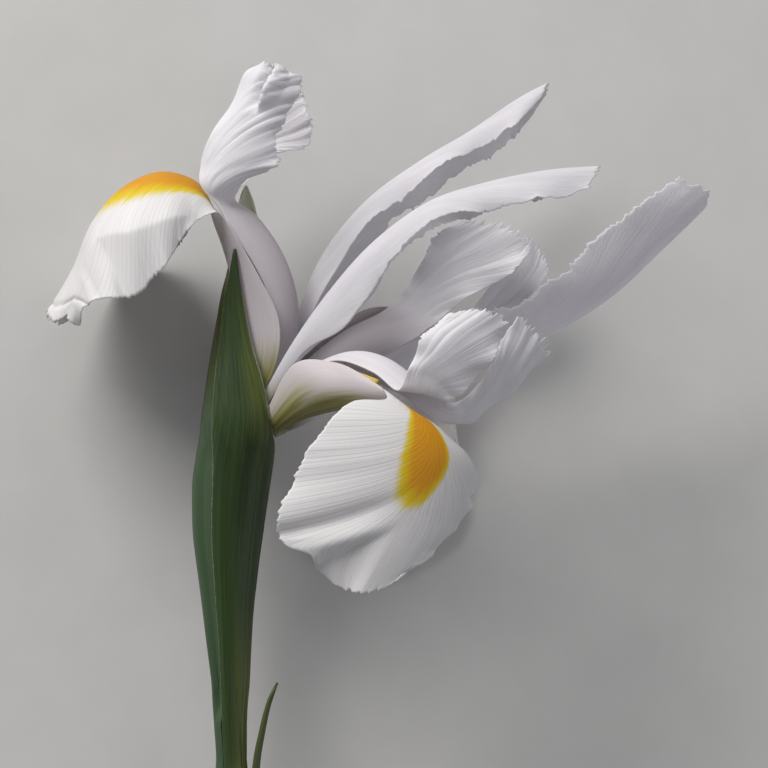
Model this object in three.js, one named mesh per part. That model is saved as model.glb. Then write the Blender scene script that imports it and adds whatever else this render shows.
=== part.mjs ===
// A white Dutch-type iris: one bloom on a cut stem, lying on its back on a level surface.
//
// The flower is laid out in its own frame, in millimetres: +Y runs up the stem, +X to the bloom's
// open side, +Z to the side that faces up once it lies down, and the stem's axis is at z = 0.
// Petals are given by stations from foot to tip: the left edge, the rib and the right edge. Their
// x and y are as seen from VIEW_DISTANCE above the stem, over VIEW_CENTRE, where a nearer point
// looks further out than it is. At the end the flower is laid down on its stem's cut end, its back
// fall and the far side of its left fall, with the origin below its middle.
import * as THREE from 'three'

const VIEW_DISTANCE = 750
const VIEW_CENTRE = [30.4, 76.8]

const PETAL_THICKNESS = 0.7
const BRACT_THICKNESS = 0.7
const GAP = 0.3

const STEM_LENGTH = 122
const STEM_TOP = 22
const STEM_RADIUS = 3
const STEM_NECK_RADIUS = 0.9
const SHEATH_FOOT = -2
const TUBE_TOP = [5.4, 68.4, 0]
const TUBE_RADIUS = 4.15
const FLOWER_AXIS = [0.656, 0.755, 0]
const FOOT_HEIGHT = 0.55
const FALL_FOOT_RADIUS = 3.9
const STANDARD_FOOT_RADIUS = 3.7
const STYLE_MARGIN_RADIUS = 2.2
const STYLE_RIDGE_RADIUS = 0.9
const STAMEN_FOOT_RADIUS = 2.5
const FILAMENT_RADIUS = 0.45
const ANTHER_RADIUS = 0.9
const ANTHER_TOP_RADIUS = 0.72

// A petal's foot reaches this many degrees to each side of its rib.
const FALL_SPREAD = 28
const STANDARD_SPREAD = 16
const STYLE_SPREAD = 40

// A margin begins to ruffle over this share of a petal's length, the waves of its two sides are out
// of step by this angle, and waves and teeth shrink away from the edge by these powers.
const RUFFLE_ONSET = 0.25
const RUFFLE_SHIFT = 1.3
const WAVE_POWER = 3
const TOOTH_POWER = 6

// How the flower lies: its stem end drops by the pitch, and it rolls towards its open side.
const REST_PITCH = THREE.MathUtils.degToRad(7.4)
const REST_ROLL = THREE.MathUtils.degToRad(12.4)

// How finely the sheets are divided
const fallSize = { rows: 30, columns: 10 }
const standardSize = { rows: 22, columns: 8 }
const bractSize = { rows: 26, columns: 10 }
const ARM_ROWS = 8
const LOBE_ROWS = 11
const STYLE_COLUMNS = 8
const LEAF_ROWS = 14
const LEAF_COLUMNS = 6
const STEM_SIDES = 14
const STAMEN_SIDES = 6

// The inner bract's margins lie this deep under the outer one. They rise again between these shares
// of its width. They dive under between the first two heights, and are level with it again where the
// bracts part, between the last two.
const TUCK = BRACT_THICKNESS + GAP + 0.15
const TUCKED_SHARE = [0.15, 0.21]
const TUCK_START = [9, 13]
const TUCK_END = [62, 70]

// Points and curves

function along([x, y, z], step, length) {
  return [x + step[0] * length, y + step[1] * length, z + step[2] * length]
}

// The real place of a point whose x and y are as seen from above.
function seen([x, y, z]) {
  const nearer = (VIEW_DISTANCE - z) / VIEW_DISTANCE
  const [cx, cy] = VIEW_CENTRE
  return [cx + (x - cx) * nearer, cy + (y - cy) * nearer, z]
}

// A point on the smooth curve between b and c, with a before them and d after.
function smooth(a, b, c, d, t) {
  return b.map((_, i) => {
    const rise = (c[i] - a[i]) / 2
    const fall = (d[i] - b[i]) / 2
    const square = 3 * (c[i] - b[i]) - 2 * rise - fall
    const cube = 2 * (b[i] - c[i]) + rise + fall
    return b[i] + t * (rise + t * (square + t * cube))
  })
}

// A point on the curve through all points; before and after are the neighbours of its ends.
function onCurve(points, share, before, after) {
  const last = points.length - 1
  const span = Math.min(Math.floor(share * last), last - 1)
  const beyondStart = before ?? points[0].map((value, i) => 2 * value - points[1][i])
  const beyondEnd = after ?? points[last].map((value, i) => 2 * value - points[last - 1][i])
  const a = span > 0 ? points[span - 1] : beyondStart
  const d = span + 2 <= last ? points[span + 2] : beyondEnd
  return smooth(a, points[span], points[span + 1], d, share * last - span)
}

// The flower's whorls stand round its axis. Angle 0 is the left fall, 120 the front and 240 the back.
function whorl(degrees, radius, height = 0) {
  const angle = THREE.MathUtils.degToRad(degrees)
  const [ax, ay] = FLOWER_AXIS
  const outward = [-ay * Math.cos(angle), ax * Math.cos(angle), Math.sin(angle)]
  return along(along(TUBE_TOP, outward, radius), FLOWER_AXIS, height)
}

// The foot of a petal on the tube's top: left edge, rib and right edge.
function foot(degrees, spread, radius, ribRadius = radius) {
  return [
    whorl(degrees - spread, radius, FOOT_HEIGHT),
    whorl(degrees, ribRadius, FOOT_HEIGHT),
    whorl(degrees + spread, radius, FOOT_HEIGHT)
  ]
}

// Sheets

// A sheet's points, in rows from foot to tip. Across, each row is the parabola through its left edge,
// its rib and its right edge. edge(along, across) gives [how far the margin waves, how far it is cut].
function sheetRows({ stations, rows, columns, before, after, edge }) {
  const rails = [0, 1, 2].map(rail => stations.map(station => station[rail]))
  const grid = []
  for (let row = 0; row <= rows; row += 1) {
    const share = row / rows
    const [left, rib, right] = rails.map((points, rail) => {
      return onCurve(points, share, before?.[rail], after?.[rail])
    })
    const line = []
    for (let column = 0; column <= columns; column += 1) {
      const across = (2 * column) / columns - 1
      const [wave, cut] = edge ? edge(share, across) : [0, 0]
      const reach = across * (1 - cut)
      const point = rib.map((value, i) => {
        const half = (right[i] - left[i]) / 2
        const bow = (left[i] + right[i]) / 2 - value
        return value + reach * half + reach * reach * bow
      })
      line.push({ point, wave })
    }
    grid.push(line)
  }
  return grid
}

function facesOf(grid) {
  const faces = []
  for (let row = 0; row + 1 < grid.length; row += 1) {
    for (let column = 0; column + 1 < grid[row].length; column += 1) {
      const [a, b] = [grid[row][column], grid[row][column + 1]]
      const [d, c] = [grid[row + 1][column], grid[row + 1][column + 1]]
      faces.push([a, b, c], [a, c, d])
    }
  }
  return faces
}

// Joins the vertices of several sheets where they meet, and returns points, waves and triangles.
function weld(faces) {
  const found = new Map()
  const points = []
  const waves = []
  const triangles = faces.map(face => face.map(({ point, wave }) => {
    const key = point.map(value => value.toFixed(4)).join()
    if (!found.has(key)) {
      found.set(key, points.length)
      points.push(new THREE.Vector3(...point))
      waves.push(wave)
    }
    return found.get(key)
  }))
  return { points, waves, triangles: triangles.filter(([a, b, c]) => a !== b && b !== c && c !== a) }
}

function vertexNormals(points, triangles) {
  const normals = points.map(() => new THREE.Vector3())
  for (const [a, b, c] of triangles) {
    const first = points[b].clone().sub(points[a])
    const normal = first.cross(points[c].clone().sub(points[a]))
    for (const corner of [a, b, c]) {
      normals[corner].add(normal)
    }
  }
  return normals.map(normal => normal.normalize())
}

// A closed solid from a sheet: both faces have the same triangles, and its free edges are walled.
// The sheet is first laid down, then waved, and held half its thickness above the surface.
function thicken(faces, thickness, bed) {
  const { points, waves, triangles } = weld(faces)
  points.forEach(point => point.applyMatrix4(bed))
  vertexNormals(points, triangles).forEach((normal, i) => points[i].addScaledVector(normal, waves[i]))
  points.forEach(point => {
    point.z = Math.max(point.z, thickness / 2)
  })
  const normals = vertexNormals(points, triangles)
  const upper = points.map((point, i) => point.clone().addScaledVector(normals[i], thickness / 2))
  const lower = points.map((point, i) => point.clone().addScaledVector(normals[i], -thickness / 2))
  const count = points.length
  const index = []
  const edges = new Set()
  for (const [a, b, c] of triangles) {
    index.push(a, b, c, count + c, count + b, count + a)
    for (const [from, to] of [[a, b], [b, c], [c, a]]) {
      edges.add(`${from}_${to}`)
    }
  }
  for (const edge of edges) {
    const [from, to] = edge.split('_').map(Number)
    if (!edges.has(`${to}_${from}`)) {
      index.push(to, from, count + from, to, count + from, count + to)
    }
  }
  const geometry = new THREE.BufferGeometry()
  const position = new Float32Array([...upper, ...lower].flatMap(point => point.toArray()))
  geometry.setAttribute('position', new THREE.BufferAttribute(position, 3))
  geometry.setIndex(index)
  return geometry
}

// A solid of round rings along a line, closed at both ends. Each ring is [centre, radius, direction],
// where the direction is left out if the ring faces along the line.
function ringed(rings, sides, bed) {
  const points = []
  rings.forEach(([centre, radius, direction], i) => {
    const before = new THREE.Vector3(...rings[Math.max(i - 1, 0)][0])
    const after = new THREE.Vector3(...rings[Math.min(i + 1, rings.length - 1)][0])
    const facing = direction ? new THREE.Vector3(...direction) : after.sub(before)
    const side = new THREE.Vector3(0, 0, 1).cross(facing).normalize()
    const front = new THREE.Vector3().crossVectors(facing, side).normalize()
    for (let corner = 0; corner < sides; corner += 1) {
      const angle = (2 * Math.PI * corner) / sides
      const point = new THREE.Vector3(...centre)
      point.addScaledVector(side, radius * Math.cos(angle)).addScaledVector(front, radius * Math.sin(angle))
      points.push(point)
    }
  })
  const last = (rings.length - 1) * sides
  const index = []
  for (let start = 0; start < last; start += sides) {
    for (let i = 0; i < sides; i += 1) {
      const next = (i + 1) % sides
      index.push(start + i, start + sides + i, start + sides + next)
      index.push(start + i, start + sides + next, start + next)
    }
  }
  for (let i = 1; i + 1 < sides; i += 1) {
    index.push(0, i, i + 1, last, last + i + 1, last + i)
  }
  points.forEach(point => point.applyMatrix4(bed))
  const geometry = new THREE.BufferGeometry()
  const position = new Float32Array(points.flatMap(point => point.toArray()))
  geometry.setAttribute('position', new THREE.BufferAttribute(position, 3))
  geometry.setIndex(index)
  return geometry
}

// Turns a solid's faces outward if they point in.
function facingOut(geometry) {
  const position = geometry.attributes.position
  const index = geometry.index.array
  const corner = i => new THREE.Vector3().fromBufferAttribute(position, index[i])
  let volume = 0
  for (let i = 0; i < index.length; i += 3) {
    volume += corner(i).dot(corner(i + 1).cross(corner(i + 2)))
  }
  if (volume < 0) {
    for (let i = 0; i < index.length; i += 3) {
      [index[i], index[i + 1]] = [index[i + 1], index[i]]
    }
  }
  return geometry
}

// Margins

// A ruffled, toothed margin. The waves grow towards the edge, and the teeth stay near it, half of
// their depth outside the stations' line.
function ruffle({ waves, height, teeth, depth, start = 0, turn = 0 }) {
  return (share, across) => {
    const open = THREE.MathUtils.smoothstep(share, start, start + RUFFLE_ONSET)
    const shift = across < 0 ? RUFFLE_SHIFT : 0
    const wave = Math.sin(2 * Math.PI * waves * share + shift + turn) * Math.abs(across) ** WAVE_POWER
    const tooth = Math.abs(Math.sin(Math.PI * teeth * share + shift)) - 0.5
    return [height * open * wave, depth * open * tooth * Math.abs(across) ** TOOTH_POWER]
  }
}

const fallRuffle = turn => ruffle({ waves: 3.2, height: 0.9, teeth: 13, depth: 0.05, start: 0.45, turn })
const standardRuffle = turn => ruffle({ waves: 4, height: 0.5, teeth: 9, depth: 0.06, start: 0.3, turn })
const crestRuffle = ruffle({ waves: 2.6, height: 0.6, teeth: 5.5, depth: 0.1, start: 0.1 })

// The flower, laid down

const stemFoot = [0, STEM_TOP - STEM_LENGTH, 0]
const lay = new THREE.Matrix4().makeRotationY(-REST_ROLL)
lay.multiply(new THREE.Matrix4().makeRotationX(REST_PITCH))

// The floor meets the lowest point of the cut end's rim.
const down = new THREE.Vector3(0, 0, -1).transformDirection(lay.clone().invert())
const rimPoint = new THREE.Vector3(down.x, 0, down.z).setLength(STEM_RADIUS)
rimPoint.add(new THREE.Vector3(...stemFoot))
const bed = new THREE.Matrix4().makeTranslation(0, 0, -rimPoint.clone().applyMatrix4(lay).z).multiply(lay)

// The falls, each a channelled haft that turns over at its bend into a broad hanging blade

const fallLeft = [
  foot(0, FALL_SPREAD, FALL_FOOT_RADIUS),
  [[7.8, 79.4, -4.4], [1, 79, 0], [8.6, 80, 5]],
  [[9.4, 89.6, -6.2], [0.6, 88, 0], [9.4, 89.6, 6.2]],
  [[5.4, 98.4, -6.6], [0.2, 97, 0], [5.2, 98.6, 6.6]],
  [[2, 104.6, -6.8], [-1.6, 104, 0], [1.8, 104.6, 6.8]],
  [[-1.8, 110.2, -7.4], [-3.4, 109, 0], [-1.8, 110.2, 7.4]],
  [[-4.6, 111.8, -9], [-5.2, 114.6, 0], [-4.4, 110.8, 9.2]],
  [[-7, 110.5, -13], [-8.6, 117.8, 0], [-8, 108.8, 12.5]],
  [[-10, 105.6, -19.5], [-15, 118.9, 0], [-12, 103.2, 17]],
  [[-15, 100.4, -25], [-22.4, 115.4, 0], [-17.6, 98, 19.5]],
  [[-22, 96.8, -23.7], [-28, 108.6, 0], [-24.4, 95.2, 19.5]],
  [[-28, 93.6, -17], [-31.8, 99.6, 0], [-28.8, 92.8, 15]],
  [[-34, 88.6, -9], [-37.4, 90.4, 0], [-30, 89, 9]]
]

const fallFront = [
  foot(120, FALL_SPREAD, FALL_FOOT_RADIUS),
  [[12, 80.4, 11.5], [14.8, 74.6, 15], [14, 69.6, 9.5]],
  [[20, 81.2, 17.5], [22.6, 76, 22], [21.6, 71.6, 17]],
  [[26.4, 78.4, 25], [29, 75, 28.5], [28.2, 72.2, 23.5]],
  [[31, 74, 32.5], [36.6, 71, 33.5], [41.2, 67.6, 27]],
  [[23.6, 73, 35.5], [39.6, 67.6, 35.5], [42.6, 65.8, 28]],
  [[16.2, 65.4, 37.5], [40.4, 62.6, 36.5], [46.4, 62.4, 27]],
  [[12.2, 57.8, 38.5], [38.6, 57, 37], [49, 57.6, 27]],
  [[9, 49.6, 39], [35, 50.6, 37.5], [47.4, 50.8, 29]],
  [[11, 44, 38.5], [30.8, 43.4, 38], [40.8, 44.6, 33]],
  [[18.4, 37.4, 38], [26, 35, 38], [33.8, 38, 36.5]]
]

const fallBack = [
  foot(240, FALL_SPREAD, FALL_FOOT_RADIUS),
  [[14.6, 70.2, -8.5], [15, 75, -14], [12.2, 80.4, -10.5]],
  [[22.8, 76, -15], [23.4, 81.6, -20.5], [20.6, 88.4, -15.5]],
  [[31, 80, -19.5], [31.5, 86, -25.5], [28.4, 92.2, -21]],
  [[40.4, 81.6, -22.2], [38.4, 87, -27.5], [35.4, 91, -26]],
  [[45.4, 81, -23], [42.6, 83, -29.4], [30.6, 86.6, -31]],
  [[43.6, 74.6, -25.5], [42, 75.6, -30.6], [27, 80, -31]],
  [[44.8, 67.4, -27], [40.6, 67.6, -31.6], [24, 72, -29.8]],
  [[45.6, 60, -30], [38, 60, -31.6], [18, 63, -27]],
  [[46, 52.6, -30.5], [34.6, 52.6, -30.2], [13.6, 54.4, -25]],
  [[41.6, 46, -29.4], [30.6, 45.4, -28.2], [13.6, 46.6, -23.8]],
  [[33.8, 40, -26.5], [27, 38, -25.6], [19.8, 40, -24]]
]

// The standards, channels with the keel outside

const standardUpper = [
  foot(300, STANDARD_SPREAD, STANDARD_FOOT_RADIUS),
  [[14.6, 83.4, -9.4], [11.2, 84.6, -8.4], [12.6, 83.4, -4.8]],
  [[22, 95.4, -14], [17.6, 101, -10.4], [18.6, 96, -4.6]],
  [[30.8, 107.6, -18], [26.6, 112.8, -14], [27.6, 108.6, -8]],
  [[38.2, 113.8, -21.6], [37.6, 121, -18], [37.4, 117, -12]],
  [[47.6, 119.8, -24.4], [47.6, 127, -21], [47, 122.8, -15]],
  [[56.2, 126.1, -26], [56.6, 133.2, -23], [55.6, 127.6, -18]],
  [[62.6, 134.2, -25], [63.2, 137, -23.6], [61.6, 134, -21]]
]

const standardMiddle = [
  foot(60, STANDARD_SPREAD, STANDARD_FOOT_RADIUS),
  [[13, 81, 4.4], [11.4, 83.4, 6.5], [14, 82.8, 8.2]],
  [[25, 92, 4.6], [19.6, 95.2, 9], [22.6, 88.2, 13]],
  [[34.6, 103.2, 8], [28.8, 105.4, 13], [29.6, 98.8, 17.6]],
  [[43.6, 108.2, 11], [39.6, 113, 16.4], [40.6, 109.8, 21.4]],
  [[52, 111.6, 14], [50.6, 116.8, 19], [51, 111.4, 23.6]],
  [[62, 114.8, 17], [62.4, 119.2, 21], [61.8, 112.9, 24.4]],
  [[71.6, 118, 19.6], [73.4, 120.2, 21.4], [71.2, 115.7, 23]]
]

const standardRight = [
  foot(180, STANDARD_SPREAD, STANDARD_FOOT_RADIUS),
  [[19.6, 75.4, -3.4], [20.6, 71.6, 0], [19.6, 75.4, 3.4]],
  [[32.8, 82, -4.6], [34, 76.6, -0.6], [32, 83.4, 3.8]],
  [[45.4, 87.6, -6.4], [48.6, 80.6, -1.4], [44, 90, 3.8]],
  [[57, 91, -8], [62.6, 86.4, -2], [54.6, 92.6, 3.6]],
  [[69.6, 98.2, -8.6], [75.6, 94.4, -2.4], [66.9, 99.9, 3.6]],
  [[80.8, 107.8, -7.4], [86.6, 104.6, -2.4], [78.6, 110.9, 3]],
  [[90.4, 115.6, -4.8], [96, 113.4, -2], [92, 119.4, 2]]
]

// The style arms, gutters over the stamens, each splitting into a crest of two lobes. A lobe's
// stations give its outer edge, its middle and its inner edge.

const styleLeft = {
  arm: [
    foot(0, STYLE_SPREAD, STYLE_MARGIN_RADIUS, STYLE_RIDGE_RADIUS),
    [[6.8, 78.4, -2.6], [9.2, 77.8, 0], [7.2, 78.4, 3.1]],
    [[8.4, 88, -4.6], [12.8, 87, 0], [8.4, 88, 4.6]],
    [[6.8, 95.6, -5.1], [12.6, 95, 0], [6.8, 95.6, 5.1]],
    [[3.8, 101.6, -5.4], [9.8, 103, 0], [3.8, 101.6, 5.4]],
    [[0.2, 107, -5.6], [4.8, 110.2, 0], [0.2, 107, 5.6]],
    [[-2.7, 112.2, -5.7], [0.4, 113.6, 0], [-2.7, 112.2, 5.7]]
  ],
  left: [
    [[-5.6, 116.4, -6.6], [-1, 117, -7], [2.6, 117, -5]],
    [[-5.4, 121, -7], [1, 121.6, -8.6], [7.6, 123, -8]],
    [[-2.6, 126.6, -7], [5.8, 126.6, -9.4], [15.4, 124.6, -9]],
    [[0.6, 132.8, -6.6], [8, 132.2, -9], [15.8, 130.4, -9]],
    [[3.8, 137.6, -6.4], [9, 137.2, -8.4], [14.2, 134.6, -8.4]],
    [[6.4, 139.8, -6.6], [9.4, 140.8, -7.6], [11.6, 138.8, -7.6]]
  ],
  right: [
    [[-6.2, 116.4, 6.2], [-1, 116.4, 6.8], [3, 117.8, 4.5]],
    [[-6.4, 121, 5.6], [1.2, 121, 8], [8.6, 120.2, 6.5]],
    [[-3.6, 127, 5], [3.2, 127, 8], [9.4, 126.2, 7.5]],
    [[-0.6, 132.8, 4.5], [5.8, 133, 8.4], [11.6, 132.2, 7.8]],
    [[2.6, 138.2, 4.5], [8, 138.2, 8], [13.6, 137, 6.6]],
    [[5.4, 141, 4.6], [8, 141.6, 6.4], [10.6, 139.8, 6]]
  ]
}

const styleFront = {
  arm: [
    foot(120, STYLE_SPREAD, STYLE_MARGIN_RADIUS, STYLE_RIDGE_RADIUS),
    [[11.9, 77.6, 10.2], [14.9, 77.4, 6.8], [15.4, 73.2, 7]],
    [[20.4, 81.4, 15.4], [23.6, 82.4, 13.6], [23.4, 76, 13.8]],
    [[28, 79.2, 24], [31.6, 81.4, 20.8], [32.4, 75.4, 20.4]],
    [[33, 75.6, 29.6], [41.6, 73.8, 27.2], [41, 69.6, 23.6]]
  ],
  left: [
    [[35.2, 79.6, 31], [39.6, 78.6, 30.6], [44.8, 74.8, 28.3]],
    [[37, 83.6, 31], [42.6, 82.4, 31], [49.2, 79.2, 28.8]],
    [[38.8, 87.6, 30], [45.6, 87, 30.6], [53, 84.2, 28.5]],
    [[44.4, 90.8, 28.5], [50.4, 92, 29], [55.4, 89.6, 27.4]]
  ],
  right: [
    [[46.6, 69, 22.6], [46.6, 71.2, 24.6], [45.8, 73.6, 25.5]],
    [[52.2, 72, 21], [51.4, 74.6, 23.6], [50, 77.6, 25]],
    [[58.2, 77.6, 19.6], [56, 80.8, 22.6], [53, 83.8, 24]],
    [[64, 83, 18], [61.6, 87.6, 20.6], [57.2, 90.8, 22.4]]
  ]
}

const styleBack = {
  arm: [
    foot(240, STYLE_SPREAD, STYLE_MARGIN_RADIUS, STYLE_RIDGE_RADIUS),
    [[15.4, 73.6, -6.6], [16.4, 78.8, -6.2], [13.4, 79.8, -8.6]],
    [[23.6, 78.8, -13], [24, 83.8, -12], [22, 87, -14]],
    [[31.6, 82, -18.6], [31.6, 86.6, -17.4], [29.4, 90.8, -19.6]],
    [[40.4, 83.6, -21.6], [39.4, 88, -22], [32.6, 93.4, -23.6]]
  ],
  left: [
    [[47.6, 86.2, -24], [47.2, 88.8, -25.4], [48.4, 91.6, -25]],
    [[54, 90, -25.6], [53.4, 93.6, -27.4], [52, 97.4, -26.6]],
    [[60, 94.4, -26.6], [59.6, 98.8, -28.4], [57.6, 103.2, -27.6]],
    [[63.4, 98.8, -27.4], [62.6, 102.8, -28.4], [58.8, 107, -28]]
  ],
  right: [
    [[35, 96.4, -24], [39.4, 94.4, -23.6], [43.8, 91.8, -22]],
    [[38.2, 101.8, -23], [44, 99, -22.6], [49.8, 95.6, -21]],
    [[41.2, 107, -22], [49.2, 103.4, -21.4], [56.6, 99.2, -20]],
    [[47, 109.4, -21], [54.8, 109, -20], [60, 104.2, -19]]
  ]
}

// Bracts, each station [height, left outline, right outline, depth, middle's height above the stem's
// plane, first angle, last angle]. An angle is taken round the spathe: 0 faces up, 90 the open side.

const bractFront = [
  [SHEATH_FOOT, -2.65, 2.65, 2.65, 0, -30, 94],
  [4, -2.95, 2.6, 2.75, 0, -30, 94],
  [11, -3.45, 2.75, 3.1, 0, -30, 94],
  [17, -3.9, 3.2, 3.5, 0, -30, 96],
  [25, -4.7, 3.6, 4.2, 0, -28, 102],
  [34, -5.8, 4.3, 5, 0, -28, 104],
  [46, -7.3, 5.8, 6.2, 0, -28, 104],
  [56, -7.5, 7.2, 7, 0.3, -28, 100],
  [62, -7, 8.2, 6.9, 1.1, -32, 90],
  [66.5, -6.4, 9, 5.9, 2.5, -40, 64],
  [71, -5.6, 8.8, 4.3, 4, -45, 54],
  [76.6, -4.6, 7.2, 2.9, 4.6, -50, 60],
  [84.6, -2.6, 4.3, 1.7, 4.6, -66, 70],
  [93.6, -1.2, 2.3, 1, 4.6, -80, 80],
  [100.6, 0.4, 1.2, 0.3, 5.4, -80, 80]
]

const bractBack = [
  [SHEATH_FOOT, -2.65, 2.65, 2.65, 0, 99, 325],
  [4, -2.95, 2.6, 2.75, 0, 99, 325],
  [13, -3.6, 2.85, 3.2, 0, 99, 325],
  [17, -3.9, 3.2, 3.5, 0, 70, 342],
  [25, -4.8, 3.6, 4.2, 0, 68, 348],
  [34, -5.8, 4.3, 5, 0, 70, 350],
  [46, -7.4, 5.8, 6, 0, 70, 350],
  [56, -7.7, 7.2, 6.4, 0, 72, 350],
  [62, -7, 8, 6.2, 0, 92, 345],
  [66.5, -6.2, 8, 6.6, -0.4, 145, 328],
  [71, -5.8, 6.6, 6.4, -1.2, 150, 322],
  [76.6, -5, 5.8, 5.6, -2.6, 145, 322],
  [84.6, -3.9, 5, 3.2, -5.1, 125, 324],
  [93.6, -2.3, 4.6, 2.4, -6.2, 115, 320],
  [101, -0.6, 5, 2, -7.2, 110, 296],
  [108, 0.2, 5.2, 1.4, -7.6, 105, 275],
  [114, 1.2, 3.8, 0.8, -8.2, 100, 262],
  [116.4, 2.1, 2.9, 0.3, -8.4, 100, 260]
]

// A bract's points. Its margins tuck under the other bract by the given depth.
function bractRows({ stations, rows, columns, tuck }) {
  const grid = []
  for (let row = 0; row <= rows; row += 1) {
    const [height, left, right, depth, middle, first, last] = onCurve(stations, row / rows)
    const line = []
    for (let column = 0; column <= columns; column += 1) {
      const share = column / columns
      const angle = THREE.MathUtils.degToRad(first + (last - first) * share)
      const margin = 1 - THREE.MathUtils.smoothstep(Math.min(share, 1 - share), ...TUCKED_SHARE)
      const begun = THREE.MathUtils.smoothstep(height, ...TUCK_START)
      const ended = THREE.MathUtils.smoothstep(height, ...TUCK_END)
      const inset = tuck * margin * (begun - ended)
      const x = (left + right) / 2 + ((right - left) / 2 - inset) * Math.sin(angle)
      const z = middle + (depth - inset) * Math.cos(angle)
      line.push({ point: [x, height, z], wave: 0 })
    }
    grid.push(line)
  }
  return grid
}

// The stem leaf: a sheath round the stem that opens into a narrow blade

const stemLeaf = [
  [[-1, -56, -4.9], [4.1, -56, 0], [-1, -56, 4.9]],
  [[-0.4, -42, -4.9], [4.2, -42, 0], [-0.4, -42, 4.9]],
  [[2.6, -26, -3.8], [4.6, -26, 0], [2.6, -26, 3.8]],
  [[4.2, -10, -2.6], [5.4, -10, 0.2], [4.2, -10, 2.8]],
  [[4.6, 0, -1.6], [5.3, 0, 0.4], [4.2, 0, 2.2]],
  [[5.9, 8, -1], [6.5, 8, 0.4], [5.6, 7.8, 1.4]],
  [[7.7, 13.6, -0.4], [7.7, 13.4, 0.3], [7.2, 13.6, 0.9]],
  [[9.1, 17, -0.1], [9.1, 17.1, 0.2], [9, 17, 0.5]]
]

// Stem, ovary and stamens, as lines of rings

const stemRings = [
  [stemFoot, STEM_RADIUS],
  [[0, -60, 0], STEM_RADIUS],
  [[0, -20, 0], STEM_RADIUS],
  [[0, SHEATH_FOOT - GAP, 0], STEM_RADIUS],
  [[0, SHEATH_FOOT - GAP, 0], STEM_NECK_RADIUS],
  [[0, STEM_TOP, 0], STEM_NECK_RADIUS]
]

const ovaryRings = [
  [[0, STEM_TOP + GAP, 0], STEM_NECK_RADIUS],
  [[0, 34, 0], 1.9],
  [[0.1, 39, 0], 2.9],
  [[0.2, 45, 0], 3.2],
  [[0.7, 52, 0], 3.5],
  [[1.6, 58, 0], 2.9],
  [[2.8, 63, 0], 2.3],
  [along(TUBE_TOP, FLOWER_AXIS, -3), 2.5, FLOWER_AXIS],
  [TUBE_TOP, TUBE_RADIUS, FLOWER_AXIS]
]

const stamens = {
  stamen_left: [0, [4.4, 79, 0], [5.6, 88, 0], [5, 95, 0], [1.6, 105.4, 0]],
  stamen_front: [120, [14.9, 76.6, 11], [19.4, 78, 14.8], [23, 79, 18.2], [29.2, 77, 25.2]],
  stamen_back: [240, [15.6, 76.6, -10.2], [19.8, 79.8, -13.4], [23.8, 82.6, -16.4], [31.4, 86.2, -21.4]]
}

// A filament to the third point, and the anther from there to the last.
function stamenRings([angle, ...path]) {
  const [first, second, third, end] = path.map(seen)
  const anther = share => third.map((value, i) => value + (end[i] - value) * share)
  return [
    [whorl(angle, STAMEN_FOOT_RADIUS, GAP), FILAMENT_RADIUS, FLOWER_AXIS],
    [first, FILAMENT_RADIUS],
    [second, FILAMENT_RADIUS],
    [third, FILAMENT_RADIUS],
    [anther(0.08), ANTHER_RADIUS],
    [anther(0.5), ANTHER_RADIUS],
    [anther(0.92), ANTHER_TOP_RADIUS],
    [end, FILAMENT_RADIUS]
  ]
}

// The pieces

const white = { color: 0xe6e2e8, roughness: 0.55 }
const creamy = { color: 0xe8e2cf, roughness: 0.6 }
const green = { color: 0x2f4a24, roughness: 0.5 }
const darkGreen = { color: 0x203a1c, roughness: 0.5 }

const flower = new THREE.Group()

function addPiece(name, geometry, finish) {
  const material = new THREE.MeshStandardMaterial({ metalness: 0, ...finish })
  const mesh = new THREE.Mesh(facingOut(geometry), material)
  mesh.name = name
  flower.add(mesh)
}

// The foot is placed on the tube as it is, the other stations as seen from above.
const placed = ([start, ...stations]) => [start, ...stations.map(station => station.map(seen))]

function addPetal(name, stations, { rows, columns, edge }) {
  const faces = facesOf(sheetRows({ stations: placed(stations), rows, columns, edge }))
  addPiece(name, thicken(faces, PETAL_THICKNESS, bed), white)
}

function addBract(name, stations, tuck, finish) {
  const faces = facesOf(bractRows({ stations, ...bractSize, tuck }))
  addPiece(name, thicken(faces, BRACT_THICKNESS, bed), finish)
}

// A style arm with its two lobes. Each lobe starts as one half of the arm's last row.
function addStyle(name, { arm, left, right }, edge) {
  const stations = placed(arm)
  const lobes = [left.map(station => station.map(seen)), right.map(station => station.map(seen).reverse())]
  const inner = lobes.map(([station], side) => station[side === 0 ? 2 : 0])
  const after = [lobes[0][0][0], inner[0].map((value, i) => (value + inner[1][i]) / 2), lobes[1][0][2]]
  const armRows = sheetRows({ stations, rows: ARM_ROWS, columns: STYLE_COLUMNS, after })
  const half = STYLE_COLUMNS / 2
  const faces = facesOf(armRows)
  lobes.forEach((lobe, side) => {
    const halfOf = line => [0, half / 2, half].map(column => line[column + side * half].point)
    const start = halfOf(armRows[ARM_ROWS])
    const shorter = { stations: stations.slice(0, -1), rows: 1, columns: STYLE_COLUMNS }
    const before = halfOf(sheetRows(shorter)[1])
    const lobeRows = { stations: [start, ...lobe], rows: LOBE_ROWS, columns: half, before, edge }
    faces.push(...facesOf(sheetRows(lobeRows)))
  })
  addPiece(name, thicken(faces, PETAL_THICKNESS, bed), white)
}

addPiece('stem', ringed(stemRings, STEM_SIDES, bed), green)
addPiece('ovary', ringed(ovaryRings, STEM_SIDES, bed), green)
addBract('bract_front', bractFront, 0, darkGreen)
addBract('bract_back', bractBack, TUCK, green)
const leafFaces = facesOf(sheetRows({ stations: stemLeaf, rows: LEAF_ROWS, columns: LEAF_COLUMNS }))
addPiece('stem_leaf', thicken(leafFaces, BRACT_THICKNESS, bed), green)

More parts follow.
